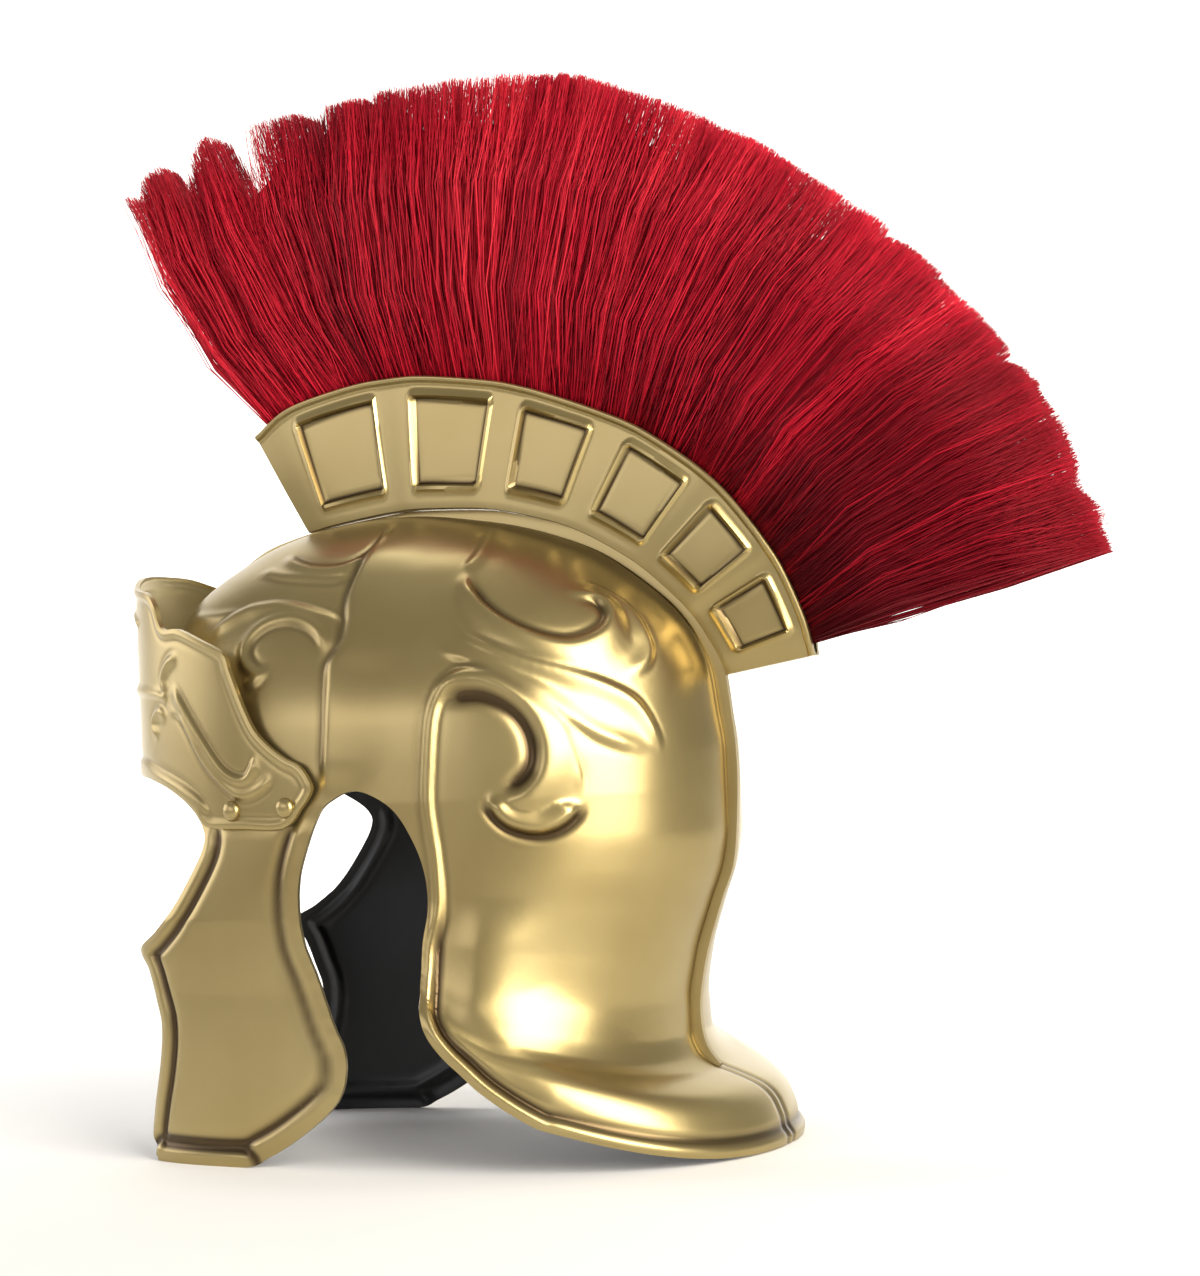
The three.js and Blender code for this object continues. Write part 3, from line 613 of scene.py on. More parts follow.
def material_gold(settings):
    """Satin gold over moulded plastic: slightly uneven, with painted shade darkening its grooves.
    """
    material, tree = new_material("gold sprayed ABS, satin")
    broad = noise(tree, 14.0, 3.0)
    tint = add_node(tree, "ShaderNodeValToRGB", {"Fac": broad})
    set_ramp(tint, [(0.3, settings.gold_low), (0.7, settings.gold_high)])
    # Painted shade: the gold is mixed towards the dark groove colour by the groove depth, standing
    # for the shade that falls in the recesses.
    thin = add_node(tree, "ShaderNodeMapRange", {
        "Value": attribute(tree, "hollow"), "From Min": 0.1, "From Max": 0.85, "To Max": 0.92})
    paint = add_node(tree, "ShaderNodeMix", {"Factor": thin, "A": tint, "B": settings.groove},
                     data_type="RGBA")
    wear = add_node(tree, "ShaderNodeMapRange", {"Value": broad, "To Min": 0.27, "To Max": 0.35})
    bump = add_node(tree, "ShaderNodeBump", {
        "Height": noise(tree, 420.0, 2.0), "Strength": 0.05, "Distance": 0.0004})
    finish_material(tree, {
        "Base Color": paint, "Metallic": 0.92, "Coat Weight": 0.2, "Coat Roughness": 0.3,
        "Roughness": wear, "Normal": bump})
    return material


def material_black(settings):
    """Bare inside of the moulding, with a fine grain."""
    material, tree = new_material("black moulded ABS, bare")
    grain = noise(tree, 260.0, 3.0)
    rough = add_node(tree, "ShaderNodeMapRange", {"Value": grain, "To Min": 0.34, "To Max": 0.44})
    bump = add_node(tree, "ShaderNodeBump", {
        "Height": grain, "Strength": 0.08, "Distance": 0.0003})
    finish_material(tree, {
        "Base Color": settings.inside, "Roughness": rough, "IOR": 1.52, "Normal": bump})
    return material


def material_bristle(settings):
    """Dyed bristle: each strand has its own tone, which also holds painted shade, and roots are
    deeper than tips.
    """
    material, tree = new_material("crimson dyed bristle")
    tone = add_node(tree, "ShaderNodeMath", {
        0: attribute(tree, "rise"), 1: 0.22, 2: attribute(tree, "tone"),
    }, operation="MULTIPLY_ADD")
    ramp = add_node(tree, "ShaderNodeValToRGB", {"Fac": tone})
    set_ramp(ramp, [(0.0, settings.bristle_shade), (0.3, settings.bristle_deep),
                    (0.65, settings.bristle_mid), (1.0, settings.bristle_light)])
    finish_material(tree, {
        "Base Color": ramp, "Roughness": 0.55, "IOR": 1.54, "Specular IOR Level": 0.14})
    return material


def material_floor(settings):
    """Matt paper."""
    material, tree = new_material("white paper sweep")
    finish_material(tree, {"Base Color": settings.paper, "Roughness": 0.9})
    return material


def shared(build, settings):
    """The material that this function builds, built the first time it is asked for."""
    key = build.__name__
    for material in bpy.data.materials:
        if material.get("helmet_key") == key:
            return material
    material = build(settings)
    material["helmet_key"] = key
    return material


def shell_points(around, level):
    """Outside of the left half. around runs 0 at the face to 180 at the nape; level runs -1 at
    the crown, 0 at the brow height and 1 at the lower edge."""
    around, level = np.broadcast_arrays(np.asarray(around, float), np.asarray(level, float))
    turn = np.radians(around)
    c, s = np.abs(np.cos(turn)), np.maximum(np.sin(turn), 0)
    behind = around > 90
    up, down = np.clip(-level, 0, 1), np.clip(level, 0, 1)
    angle = up * 90
    soft = np.cos(np.radians(angle)) ** 2
    early = np.clip(down / 0.3, 0, 1)

    top_mid = MIDDLE_Y - 18 * up ** 1.5
    top_reach = np.where(behind, along(CROWN_REAR, angle), along(CROWN_FRONT, angle)) - top_mid
    top_power = 2 / (2 + np.where(behind, 0.2, 0.4) * soft)
    top = np.stack([
        along(CROWN_SIDE, angle) * s ** top_power,
        top_mid + top_reach * c ** top_power,
        BROW_Z + (CROWN_Z - BROW_Z) * np.sin(np.radians(angle)),
    ], -1)

    back_mid = MIDDLE_Y + 22 * down ** 1.5
    back_power = 2 / (2.2 - 0.05 * down)
    drop = (BROW_Z - along(BODY, down, 2)) / (BROW_Z - BODY[-1, 2])
    back = np.stack([
        along(BODY, down, 3) * s ** back_power,
        back_mid + (along(BODY, down) - back_mid) * c ** back_power,
        BROW_Z - drop * (BROW_Z - along(NECK_EDGE, around)),
    ], -1)

    face_power = 2 / (2.4 + 0.9 * early)
    face = np.stack([
        (FACE_HALF_WIDTH - 3 * np.minimum(2 * down, 1)) * s ** face_power,
        MIDDLE_Y - (FACE_REACH + 12 * early) * c ** face_power,
        BROW_Z - down * (BROW_Z + 6),
    ], -1)

    lower = np.where(behind[..., None], back, face)
    return np.where((level <= 0)[..., None], top, lower)


def shell_normals(around, level):
    u = np.clip(around, 1.0, 179.0)
    v = np.clip(level, -0.98, 0.99)
    du, dv = 0.5, 0.006
    a = shell_points(u + du, v) - shell_points(u - du, v)
    n = np.cross(shell_points(u, v + dv) - shell_points(u, v - dv), a)
    n[..., 0] = np.where((around <= 0) | (around >= 180), 0, n[..., 0])
    return unit(n)


def lift(rows, points):
    """Side-view rows (y, z) raised to the surface points, by a plane through the nearest ones."""
    rows = np.asarray(rows, float)
    out = np.empty((len(rows), 3))
    for i, row in enumerate(rows):
        off = points[:, 1:] - row[:2]
        near = np.argpartition((off ** 2).sum(1), 12)[:12]
        plane = np.column_stack([np.ones(12), off[near]])
        level = np.linalg.lstsq(plane, points[near, 0], rcond=None)[0][0]
        out[i] = (level, row[0], row[1])
    return out


def border(d, width):
    """Rise and groove at distance d from an edge: a flat band, a groove and a soft pillow."""
    band = 0.9 * ease(d, -0.2, 1.6) * (1 - ease(d, width - 2.6, width - 0.6))
    return band + 0.8 * ease(d, width, width + 6), trench(d - width, 1.3, 1.6)


def shell_relief(points):
    """Heights of the moulded relief over the plain shell and depths of its grooves."""
    flat = points[:, 1:]
    raised, sunk = np.zeros(len(points)), np.zeros(len(points))
    for leaf in SHELL_LEAVES.values():
        path = smooth_path(leaf[3])
        spine = lift(path[:, :2], points)
        near = np.linalg.norm(flat[:, None] - path[None, ::6, :2], axis=2).min(1) < 45
        local_raised, local_sunk = raised[near], sunk[near]
        press_leaf(local_raised, local_sunk, points[near], spine, flat[near], path, leaf)
        raised[near], sunk[near] = local_raised, local_sunk
    edge = np.asarray(SHELL_EDGE, float)
    to_front, to_rear = [path_distance(points, lift(smooth_path(edge[span]), points))[0]
                         for span in (CHEEK_FRONT, CHEEK_REAR)]
    on_cheek = (points[:, 2] < 136) & (points[:, 1] < -78)
    fade = np.where(on_cheek, ease(-points[:, 2], -136, -128), 0)
    rise_a, groove_a = border(to_front, 7.0)
    rise_b, groove_b = border(to_rear, 9.5)
    raised, sunk = np.where(on_cheek, 0, raised), np.where(on_cheek, 0, sunk)
    raised += fade * (np.minimum(rise_a, rise_b) + rope(np.abs(to_rear - 5.2), 1.8, 0.8))
    sunk += fade * np.maximum(groove_a, groove_b)
    neck = lift(smooth_path(edge[NECK_EDGE_SPAN]), points)
    rim = shell_points(np.linspace(113, 180, 90), np.ones(90))
    to_neck, _ = path_distance(points, np.vstack([neck, rim[1:]]))
    ear = smooth_path(EAR_RIM)
    to_ear, place = path_distance(points, lift(ear, points))
    low = ease(points[:, 1], -50, -44) * ease(-points[:, 2], -104, -84)
    raised += low * rope(np.abs(to_neck - 2.8), 3.2, 2.1)
    raised += low * 2.4 * ease(to_neck, 7, 22) * (1 - ease(to_neck, 22, 52))
    sunk += low * trench(to_neck - 6.4, 1.5, 1.3)
    above = ease(points[:, 2], 82, 98) * (1 - ease(place / len(ear), 0.68, 0.98))
    raised += above * rope(to_ear, 3.0, 1.9)
    sunk += above * trench(to_ear - 3.8, 0.9, 0.6)
    sunk += trench(np.abs(points[:, 0]) - 3.2, 1.2, 1.0)
    return raised, sunk


def half_shell(settings):
    """Left half as points, faces and kinds: gold outside, black inside."""
    arounds = np.linspace(0, 180, settings.around_steps + 1)
    levels = np.concatenate([np.linspace(-1, 0, settings.dome_steps + 1),
                             np.linspace(0, 1, settings.body_steps + 1)[1:]])
    u, v = np.meshgrid(arounds, levels, indexing="ij")
    points = shell_points(u, v).reshape(-1, 3)
    normals = shell_normals(u, v).reshape(-1, 3)
    normals[v.ravel() <= -1] = (0, 0, 1)
    outline = np.vstack([smooth_path(SHELL_EDGE, 1.5), SHELL_FAR_CORNERS])
    value = np.minimum(inside_distance(points[:, 1:], outline), points[:, 2] + 0.02)
    raised, sunk = [soften(field.reshape(u.shape)).ravel() for field in shell_relief(points)]
    front = points + normals * ((raised - sunk) * settings.relief)[:, None]
    back = front - normals * (settings.wall / MM)
    tris, (front, back, sunk) = clip(
        grid_faces(len(arounds), len(levels), raised - sunk), value, front, back, sunk)
    for side in (front, back):
        side[:, 0] = np.maximum(side[:, 0], HALF_GAP)
        side[:, 2] = np.maximum(side[:, 2], 0)
    return thicken(front, back, tris, sunk)


def seam_flange():
    """Upstanding strip along the seam, as a closed sheet."""
    foot, lip = STATIONS[:, :2], STATIONS[:, 2:4]
    under = foot - 0.3 * unit(lip - foot)
    top = smooth_path(np.vstack([FLANGE_FRONT, under, FLANGE_REAR]), 2.5)
    dome, low = np.linspace(-0.999, 0, FLANGE_STEPS), np.linspace(0, 0.9, FLANGE_STEPS)
    brow = np.stack([np.zeros(30), np.full(30, -189), np.linspace(154, 140, 30)], 1)
    profile = np.vstack([shell_points(0, dome), shell_points(180, dome),
                         shell_points(180, low), brow])[:, 1:]
    root = np.array([profile[np.argmin(np.linalg.norm(profile - p, axis=1))] for p in top])
    root = root - 1.2 * unit(top - root)
    outer = np.stack([np.insert(line, 0, FLANGE_ROOT, axis=1) for line in (top, root)], 1)
    inner = outer.copy()
    inner[..., 0] = HALF_GAP
    outer[:, 0, 0] = FLANGE_LIP
    return thicken(outer, inner, grid_faces(len(top), 2))


def join_parts(parts):
    """One set of points, faces, kinds and depths from several."""
    shifted, start = [], 0
    for points, faces, kinds, depth in parts:
        shifted.append((points, faces + start, kinds, depth))
        start += len(points)
    return [np.concatenate(column) for column in zip(*shifted)]


def build_shell(settings):
    wall, flange = half_shell(settings), seam_flange()
    skins = [shared(material_gold, settings), shared(material_black, settings)]
    for side, name in ((1, "shell_left"), (-1, "shell_right")):
        parts = [wall, (*flange[:2], flange[2] * 0, flange[3])]
        if side < 0:
            parts = [(*mirrored(*part[:2]), *part[2:]) for part in parts]
        obj = make_mesh(name + "_moulded", *join_parts(parts), skins, settings.back_share)
        settle(obj, "gold_shell", name)


def plate_points(around, z):
    turn = np.radians(around)
    s, c = np.sin(turn), np.maximum(np.cos(turn), 0)
    x = PLATE_SIDE * np.sign(s) * np.abs(s) ** PLATE_POWER
    return np.stack([x, MIDDLE_Y - PLATE_REACH * c ** PLATE_POWER, z + 0 * x], -1)


def plate_normals(around):
    d = plate_points(around + 0.4, 0.0) - plate_points(around - 0.4, 0.0)
    return unit(np.stack([d[..., 1], -d[..., 0], 0 * d[..., 0]], -1))


def plate_ruler():
    """Angles and their distances round the plate from its middle."""
    angles = np.linspace(-PLATE_END, PLATE_END, 1661)
    steps = np.linalg.norm(np.diff(plate_points(angles, 0.0), axis=0), axis=1)
    length = np.concatenate([[0], np.cumsum(steps)])
    return angles, length - length[len(angles) // 2]


def build_plate(settings):
    angles, lengths = plate_ruler()

    def flat(rows):
        rows = np.asarray(rows, float)
        return np.column_stack([np.interp(rows[:, 0], angles, lengths), rows[:, 1:]])

    half = smooth_path(flat(PLATE_TOP + PLATE_BOTTOM), 1.5)
    outline = np.vstack([half, half[::-1][1:-1] * np.array([-1, 1])])
    reach = half[:, 0].max() + 1
    columns = np.linspace(-reach, reach, settings.plate_columns)
    rows = np.linspace(*PLATE_SPAN, settings.plate_rows)
    s, z = np.meshgrid(columns, rows, indexing="ij")
    place = np.stack([s.ravel(), z.ravel()], 1)
    value = inside_distance(place, outline)
    mirror = np.stack([np.abs(place[:, 0]), place[:, 1]], 1)
    raised = 0.9 * ease(value, 0, 1.2) * (1 - ease(value, 2.2, 3.6))
    sunk = trench(value - 4.4, 0.9, 0.35)
    for leaf in PLATE_LEAVES.values():
        path = flat(smooth_path(leaf[3], 1.5))
        press_leaf(raised, sunk, mirror, path[:, :2], mirror, path, leaf)
    for rise, rows_of in PLATE_ROPES.values():
        path = flat(smooth_path(rows_of, 1.5))
        d, at = path_distance(mirror, path[:, :2])
        width = np.interp(at, np.arange(len(path)), path[:, 2]) / 2
        np.maximum(raised, rope(d, width, rise), out=raised)
    raised, sunk = [soften(field.reshape(s.shape)).ravel() for field in (raised, sunk)]
    height = raised - sunk
    around = np.interp(place[:, 0], lengths, angles)
    normals = plate_normals(around)
    front = plate_points(around, place[:, 1]) + normals * (height * settings.relief)[:, None]
    back = front - normals * (settings.plate_wall / MM)
    tris, (front, back, sunk) = clip(
        grid_faces(len(columns), len(rows), height), value, front, back, sunk)
    points, faces, kinds, depth = thicken(front, back, tris, sunk)
    obj = make_mesh("brow_plate_moulded", points, faces, kinds * 0, depth,
                    [shared(material_gold, settings)], settings.back_share,
                    np.flatnonzero(kinds == 1))
    settle(obj, "gold_plate", "brow_plate")


def socket_id(group, name):
    for item in group.interface.items_tree:
        if item.item_type == "SOCKET" and item.in_out == "INPUT" and item.name == name:
            return item.identifier
    raise KeyError(name)


def point_object(name, points, **fields):
    """Mesh of bare points in millimetres with named fields."""
    mesh = new_mesh(name, points)
    for key, values in fields.items():
        write_field(mesh, key, values)
    return add_object(name, mesh)


def run_nodes(obj, group, **values):
    """Evaluates a node group on an object and keeps the result as its plain mesh."""
    modifier = obj.modifiers.new("repeat", "NODES")
    modifier.node_group = group
    for name, value in values.items():
        modifier[socket_id(group, name)] = value
    bake(obj, modifier)


def new_group(name, *sockets):
    """Node group that takes points, these further inputs and a material."""
    group = bpy.data.node_groups.new(name, "GeometryNodeTree")
    for label, kind in (("Geometry", "Geometry"), *sockets, ("Material", "Material")):
        group.interface.new_socket(label, in_out="INPUT", socket_type="NodeSocket" + kind)
    group.interface.new_socket("Geometry", in_out="OUTPUT", socket_type="NodeSocketGeometry")
    return group, add_node(group, "NodeGroupInput").outputs


def field(group, name, kind):
    return add_node(group, "GeometryNodeInputNamedAttribute", {"Name": name}, data_type=kind)


def repeat(group, given, inputs):
    """Ends a group with instances on its points, made real, smooth and painted."""
    flow = add_node(group, "GeometryNodeInstanceOnPoints", {
        "Points": given["Geometry"], "Rotation": field(group, "turn", "FLOAT_VECTOR"), **inputs})
    flow = add_node(group, "GeometryNodeRealizeInstances", {"Geometry": flow})
    flow = add_node(group, "GeometryNodeSetShadeSmooth", {"Geometry": flow})
    flow = add_node(group, "GeometryNodeSetMaterial", {
        "Geometry": flow, "Material": given["Material"]})
    add_node(group, "NodeGroupOutput", {"Geometry": flow})


def rivet_nodes():
    """Dome heads on points, turned by the field "turn"."""
    group, given = new_group("Rivet heads", ("Radius", "Float"), ("Rise", "Float"))
    ball = add_node(group, "GeometryNodeMeshUVSphere", {
        "Segments": 28, "Rings": 16, "Radius": given["Radius"]})
    squash = add_node(group, "ShaderNodeCombineXYZ", {"X": 1.0, "Y": 1.0, "Z": given["Rise"]})
    head = add_node(group, "GeometryNodeTransform", {"Geometry": ball, "Scale": squash})
    repeat(group, given, {"Instance": head})
    return group


def build_rivets(settings):
    places, turns = [], []
    for angle, z in RIVETS:
        normal = plate_normals(np.array([angle]))[0]
        places.append(plate_points(np.array([angle]), z)[0] + normal * RIVET_LIFT)
        turns.append(Vector(normal).to_track_quat("Z", "Y").to_euler())
    obj = point_object("rivet_heads", np.array(places), turn=turns)
    run_nodes(obj, rivet_nodes(), Radius=settings.rivet_radius, Rise=RIVET_RISE,
              Material=shared(material_gold, settings))
    settle(obj, "gold_rivet", "rivet_left_front", "rivet_left_rear", "rivet_right_front",
           "rivet_right_rear")


def holder_frame(f):
    """Foot point, direction up the holder, height and brush length at station numbers f."""
    table = np.column_stack([np.arange(len(STATIONS)), STATIONS])
    y, z, lip_y, lip_z, brush = [along(table, f, k) for k in range(1, 6)]
    foot = np.stack([y, z], -1)
    rise = np.stack([lip_y, lip_z], -1) - foot
    height = np.linalg.norm(rise, axis=-1)
    return foot, rise / height[..., None], height, brush


def holder_half(f):
    return HOLDER_THIN + HOLDER_BULGE * np.sin(np.pi * np.clip(f / LAST, 0, 1))


def panel_relief(f, up, height):
    """Embossed panels between odd and even stations: relief with a raised frame round a sunk
    field, and the depth of the groove inside the frame, which also masks the painted shade there."""
    relief, groove = np.zeros_like(f), np.zeros_like(f)
    for start in range(1, len(STATIONS) - 2, 2):
        step = STATIONS[start + 1] - STATIONS[start]
        span, far = np.linalg.norm(step[:2]), np.linalg.norm(step[2:4])
        width = span + (far - span) * up / height
        across = (np.abs(f - start - 0.5) - 0.5) * width + PANEL_CORNER
        tall = np.abs(up - (height + 1) / 2) - (height - 15) / 2 + PANEL_CORNER
        d = np.hypot(np.maximum(across, 0), np.maximum(tall, 0)) - PANEL_CORNER
        d = np.where((across < 0) & (tall < 0), np.maximum(across, tall) - PANEL_CORNER, d)
        relief += 1.3 * np.exp(-(((d + 0.4) / 1.3) ** 2)) - 1.1 * ease(-d, 1.2, 2.8)
        groove += np.exp(-(((d + 2.6) / 0.9) ** 2))
    return relief - 0.3 * groove, groove


def build_crest(settings):
    f = np.concatenate([[0, 0.15], np.linspace(0.25, LAST - 0.25, settings.crest_columns),
                        [LAST - 0.15, LAST]])
    foot, rise, height, _ = holder_frame(f)
    half, wall = holder_half(f), settings.wall / MM
    zero = np.zeros_like(f)
    closed = (f <= 0) | (f >= LAST)

    def place(x, up):
        return np.column_stack([np.maximum(x, HALF_GAP), foot + rise * up[:, None]])

    def shut(x):
        return np.where(closed, HALF_GAP, x)

    hollow = shut(half - wall)
    outer = [place(zero, zero), place(half - 1.0, zero), place(half - 0.2, zero + 0.3)]
    inner = [place(x, zero + wall) for x in (zero, hollow - 1, hollow)]
    depths = [zero] * len(outer)
    for row in np.linspace(0.03, 0.93, settings.crest_rows):
        up = 0.8 + row * (height - 0.8)
        relief, groove = panel_relief(f, up, height)
        bulge = 0.4 * np.sin(np.pi * row) + relief
        # These groove depths also mask the painted shade in the gold.
        depths.append(groove)
        outer.append(place(half + bulge, up))
        inner.append(place(shut(hollow + bulge), up))
    for out, below in ((0.5, 2.6), (1.3, 2.0), (1.7, 1.2), (1.6, 0.5), (1.0, 0.0)):
        depths.append(zero)
        outer.append(place(half + out, height - below))
        inner.append(place(shut(hollow + out * 0.5), height - below))
    points, faces, kinds, depth = thicken(
        np.array(outer), np.array(inner), grid_faces(len(outer), len(f)), np.ravel(depths))
    for side, name in ((1, "crest_panel_left"), (-1, "crest_panel_right")):
        shape = (points, faces) if side > 0 else mirrored(points, faces)
        obj = make_mesh(name + "_moulded", *shape, kinds * 0, depth,
                        [shared(material_gold, settings)])
        settle(obj, "gold_holder", name)


def fan_point(f, up, x):
    """Point of the brush at station numbers f, lengths up from the foot and x."""
    foot, rise, _, _ = holder_frame(f)
    return np.concatenate([x[..., None], foot + rise * up[..., None]], -1)


def brush_length(t, brush):
    """Brush length over the lip, cut into by the notches."""
    for at, depth, width in BRUSH_NOTCHES:
        brush = brush - trench(t - at, width, depth)
    return brush


def build_core(settings):
    """Dense heart of the brush, dark with painted shade, which fills the holder and stops short
    of the tips.
    """
    t = np.linspace(0, 1, CORE_STEPS + 1)
    low, high = (0.05 + 0.9 * t) * LAST, (0.05 + 0.84 * t) * LAST
    root = holder_half(low) - settings.wall / MM - 0.4
    _, _, height, brush = holder_frame(high)
    length = brush_length(t, brush)
    wave = 0.5 + 0.5 * np.sin(2 * np.pi * 46 * t + 2 * np.sin(2 * np.pi * 7 * t))
    rows = [(low, 2.0 + 0 * t, root * 0.8), (low, holder_frame(low)[2], root * 0.7)]
    for part, thick in ((0.12, 0.66), (0.4, 0.75), (0.7, 0.7), (0.85, 0.35)):
        rows.append((high, height + length * part, root * (thick - 0.12 * wave) + 0.3))
    left = np.array([fan_point(*row) for row in rows])
    points, faces, kinds, depth = thicken(
        left, left * np.array([-1, 1, 1]), grid_faces(*left.shape[:2]))
    obj = make_mesh("plume_core", points, faces, kinds * 0, depth,
                    [shared(material_bristle, settings)])
    # Painted shade: the core gets a low tone and no lightening towards the tips, standing for the
    # shade deep inside the brush.
    for name, value in (("tone", 0.12), ("rise", 0.0)):
        write_field(obj.data, name, np.full(len(obj.data.vertices), value))
    settle(obj, "crimson_bristle", "plume")


def strand_shapes(settings):
    """A few slightly different bent bristles, one metre tall, in a collection."""
    store = bpy.data.collections.new("bristle shapes")
    rng = np.random.default_rng(settings.seed)
    thick = settings.bristle_width / MM / BRISTLE_REFERENCE
    end = BRISTLE_RINGS - 1
    for number in range(BRISTLE_SHAPES):
        bow = -0.01 + 0.1 * number / (BRISTLE_SHAPES - 1)
        curl = rng.uniform(-0.014, 0.014)
        points, faces = [], []
        for k in range(BRISTLE_RINGS):
            h = k / end
            x = bow * math.sin(math.pi * h) + curl * math.sin(2 * math.pi * h)
            radius = 0.5 * (1.0 - 0.6 * h ** 1.5)
            for corner in range(3):
                a = 2 * math.pi * corner / 3
                points.append((x + radius * math.cos(a) * thick, radius * math.sin(a) * thick, h))
                if k:
                    a, b = 3 * (k - 1) + corner, 3 * (k - 1) + (corner + 1) % 3
                    faces.append((a, b, b + 3, a + 3))
        faces += [(2, 1, 0), (3 * end, 3 * end + 1, 3 * end + 2)]
        mesh = bpy.data.meshes.new(f"bristle_{number}")
        mesh.from_pydata(points, [], faces)
        write_field(mesh, "rise", [point[2] for point in points])
        store.objects.link(bpy.data.objects.new(mesh.name, mesh))
    return store


def bristle_nodes():
    """Bent bristles picked from a collection, on points with turn, size, shape and tone."""
    group, given = new_group("Brush bristles", ("Shapes", "Collection"), ("Scale", "Float"))
    shapes = add_node(group, "GeometryNodeCollectionInfo", {
        "Collection": given["Shapes"], "Separate Children": True, "Reset Children": True})
    scale = add_node(group, "ShaderNodeMath", {
        0: field(group, "size", "FLOAT"), 1: given["Scale"]}, operation="MULTIPLY")
    repeat(group, given, {
        "Instance": shapes, "Pick Instance": True, "Scale": scale,
        "Instance Index": field(group, "shape", "INT")})
    return group


def strand_field(settings):
    """Roots, tips and tones of all the bristles."""
    rng = np.random.default_rng(settings.seed)
    count, locks = settings.bristles, settings.locks
    t = np.sort(rng.uniform(0, 1, count))
    side = rng.choice([-1.0, 1.0], count)
    depth = rng.uniform(0, 1, count) ** 0.6
    low = (0.035 + 0.93 * t) * LAST
    root_x = side * depth * (holder_half(low) - settings.wall / MM - 0.5)
    root = fan_point(low, holder_frame(low)[2] - ROOT_DEPTH, root_x)

    lock = np.clip((t * locks + rng.normal(0, 0.5, count)).astype(int), 0, locks - 1)
    centre = (lock + 0.5) / locks
    pull = rng.uniform(0.0, 0.35, locks)[lock]
    lean = rng.normal(0, 0.003, locks)[lock]
    t_tip = np.clip(t + (centre - t) * pull + lean + rng.normal(0, 0.0045, count), 0, 1)
    t_tip -= REAR_LIFT * ease(t_tip, 0.6, 1)
    high = t_tip * LAST
    _, _, height, brush = holder_frame(high)
    length = brush_length(t_tip, brush)
    length = length * (1 - np.abs(rng.normal(0, 0.009, count))) + rng.normal(0, 0.8, locks)[lock]
    swell = rng.uniform(0.75, 1.15, locks)[lock]
    tip_x = side * depth * (holder_half(high) + 2.5) * swell + rng.normal(0, 1.2, count)
    tip = fan_point(high, height + length, tip_x)
    # Each lock and each strand has its own tone. Painted shade: strands near the middle of the
    # brush are darker, and so are two streaks across the fan at 0.6 and 0.8 of its length. The
    # tone also darkens from the front towards the rear.
    tone = 0.36 + rng.normal(0, 0.15, locks)[lock] + rng.normal(0, 0.15, count)
    tone += 0.12 * (depth - 0.8) + 0.28 * (0.5 - t) - 0.3 * ease(t, 0.6, 0.85)
    tone -= 0.16 * np.exp(-(((t - 0.80) / 0.05) ** 2)) + 0.1 * np.exp(-(((t - 0.60) / 0.03) ** 2))
    return root, tip, np.clip(tone, 0.02, 0.98), rng


def build_bristles(settings):
    root, tip, tone, rng = strand_field(settings)
    way = tip - root
    size = np.linalg.norm(way, axis=1) / BRISTLE_REFERENCE
    turns = np.empty((len(root), 3))
    spin = rng.normal(0, 0.7, len(root))
    z = unit(way)
    x = unit(np.stack([0 * way[:, 0], -way[:, 2], way[:, 1]], 1))
    y = np.cross(z, x)
    for i, roll in enumerate(spin):
        turn = Matrix((x[i], y[i], z[i])).transposed() @ Matrix.Rotation(roll, 3, "Z")
        turns[i] = turn.to_euler()
    shape = rng.integers(0, BRISTLE_SHAPES, len(root))
    store, group = strand_shapes(settings), bristle_nodes()
    for number, part in enumerate(np.array_split(np.arange(len(root)), BRUSH_PIECES), 1):
        obj = point_object(f"plume_bristles_{number}", root[part], turn=turns[part],
                           size=size[part], tone=tone[part], shape=shape[part])
        run_nodes(obj, group, Shapes=store, Scale=BRISTLE_REFERENCE * MM,
                  Material=shared(material_bristle, settings))
        settle(obj, "crimson_bristle")
    for obj in list(store.objects):
        bpy.data.objects.remove(obj)
    bpy.data.collections.remove(store)


def area_light(name, place, aim, size, power, colour, spread):
    data = bpy.data.lights.new(name, "AREA")
    data.shape = "RECTANGLE"
    data.size, data.size_y = size
    data.energy = power
    data.spread = math.radians(spread)
    data.color = linear(colour)[:3]
    obj = add_object(name, data)
    obj.location = place
    obj.rotation_mode = "QUATERNION"
    obj.rotation_quaternion = (Vector(aim) - Vector(place)).to_track_quat("-Z", "Y")


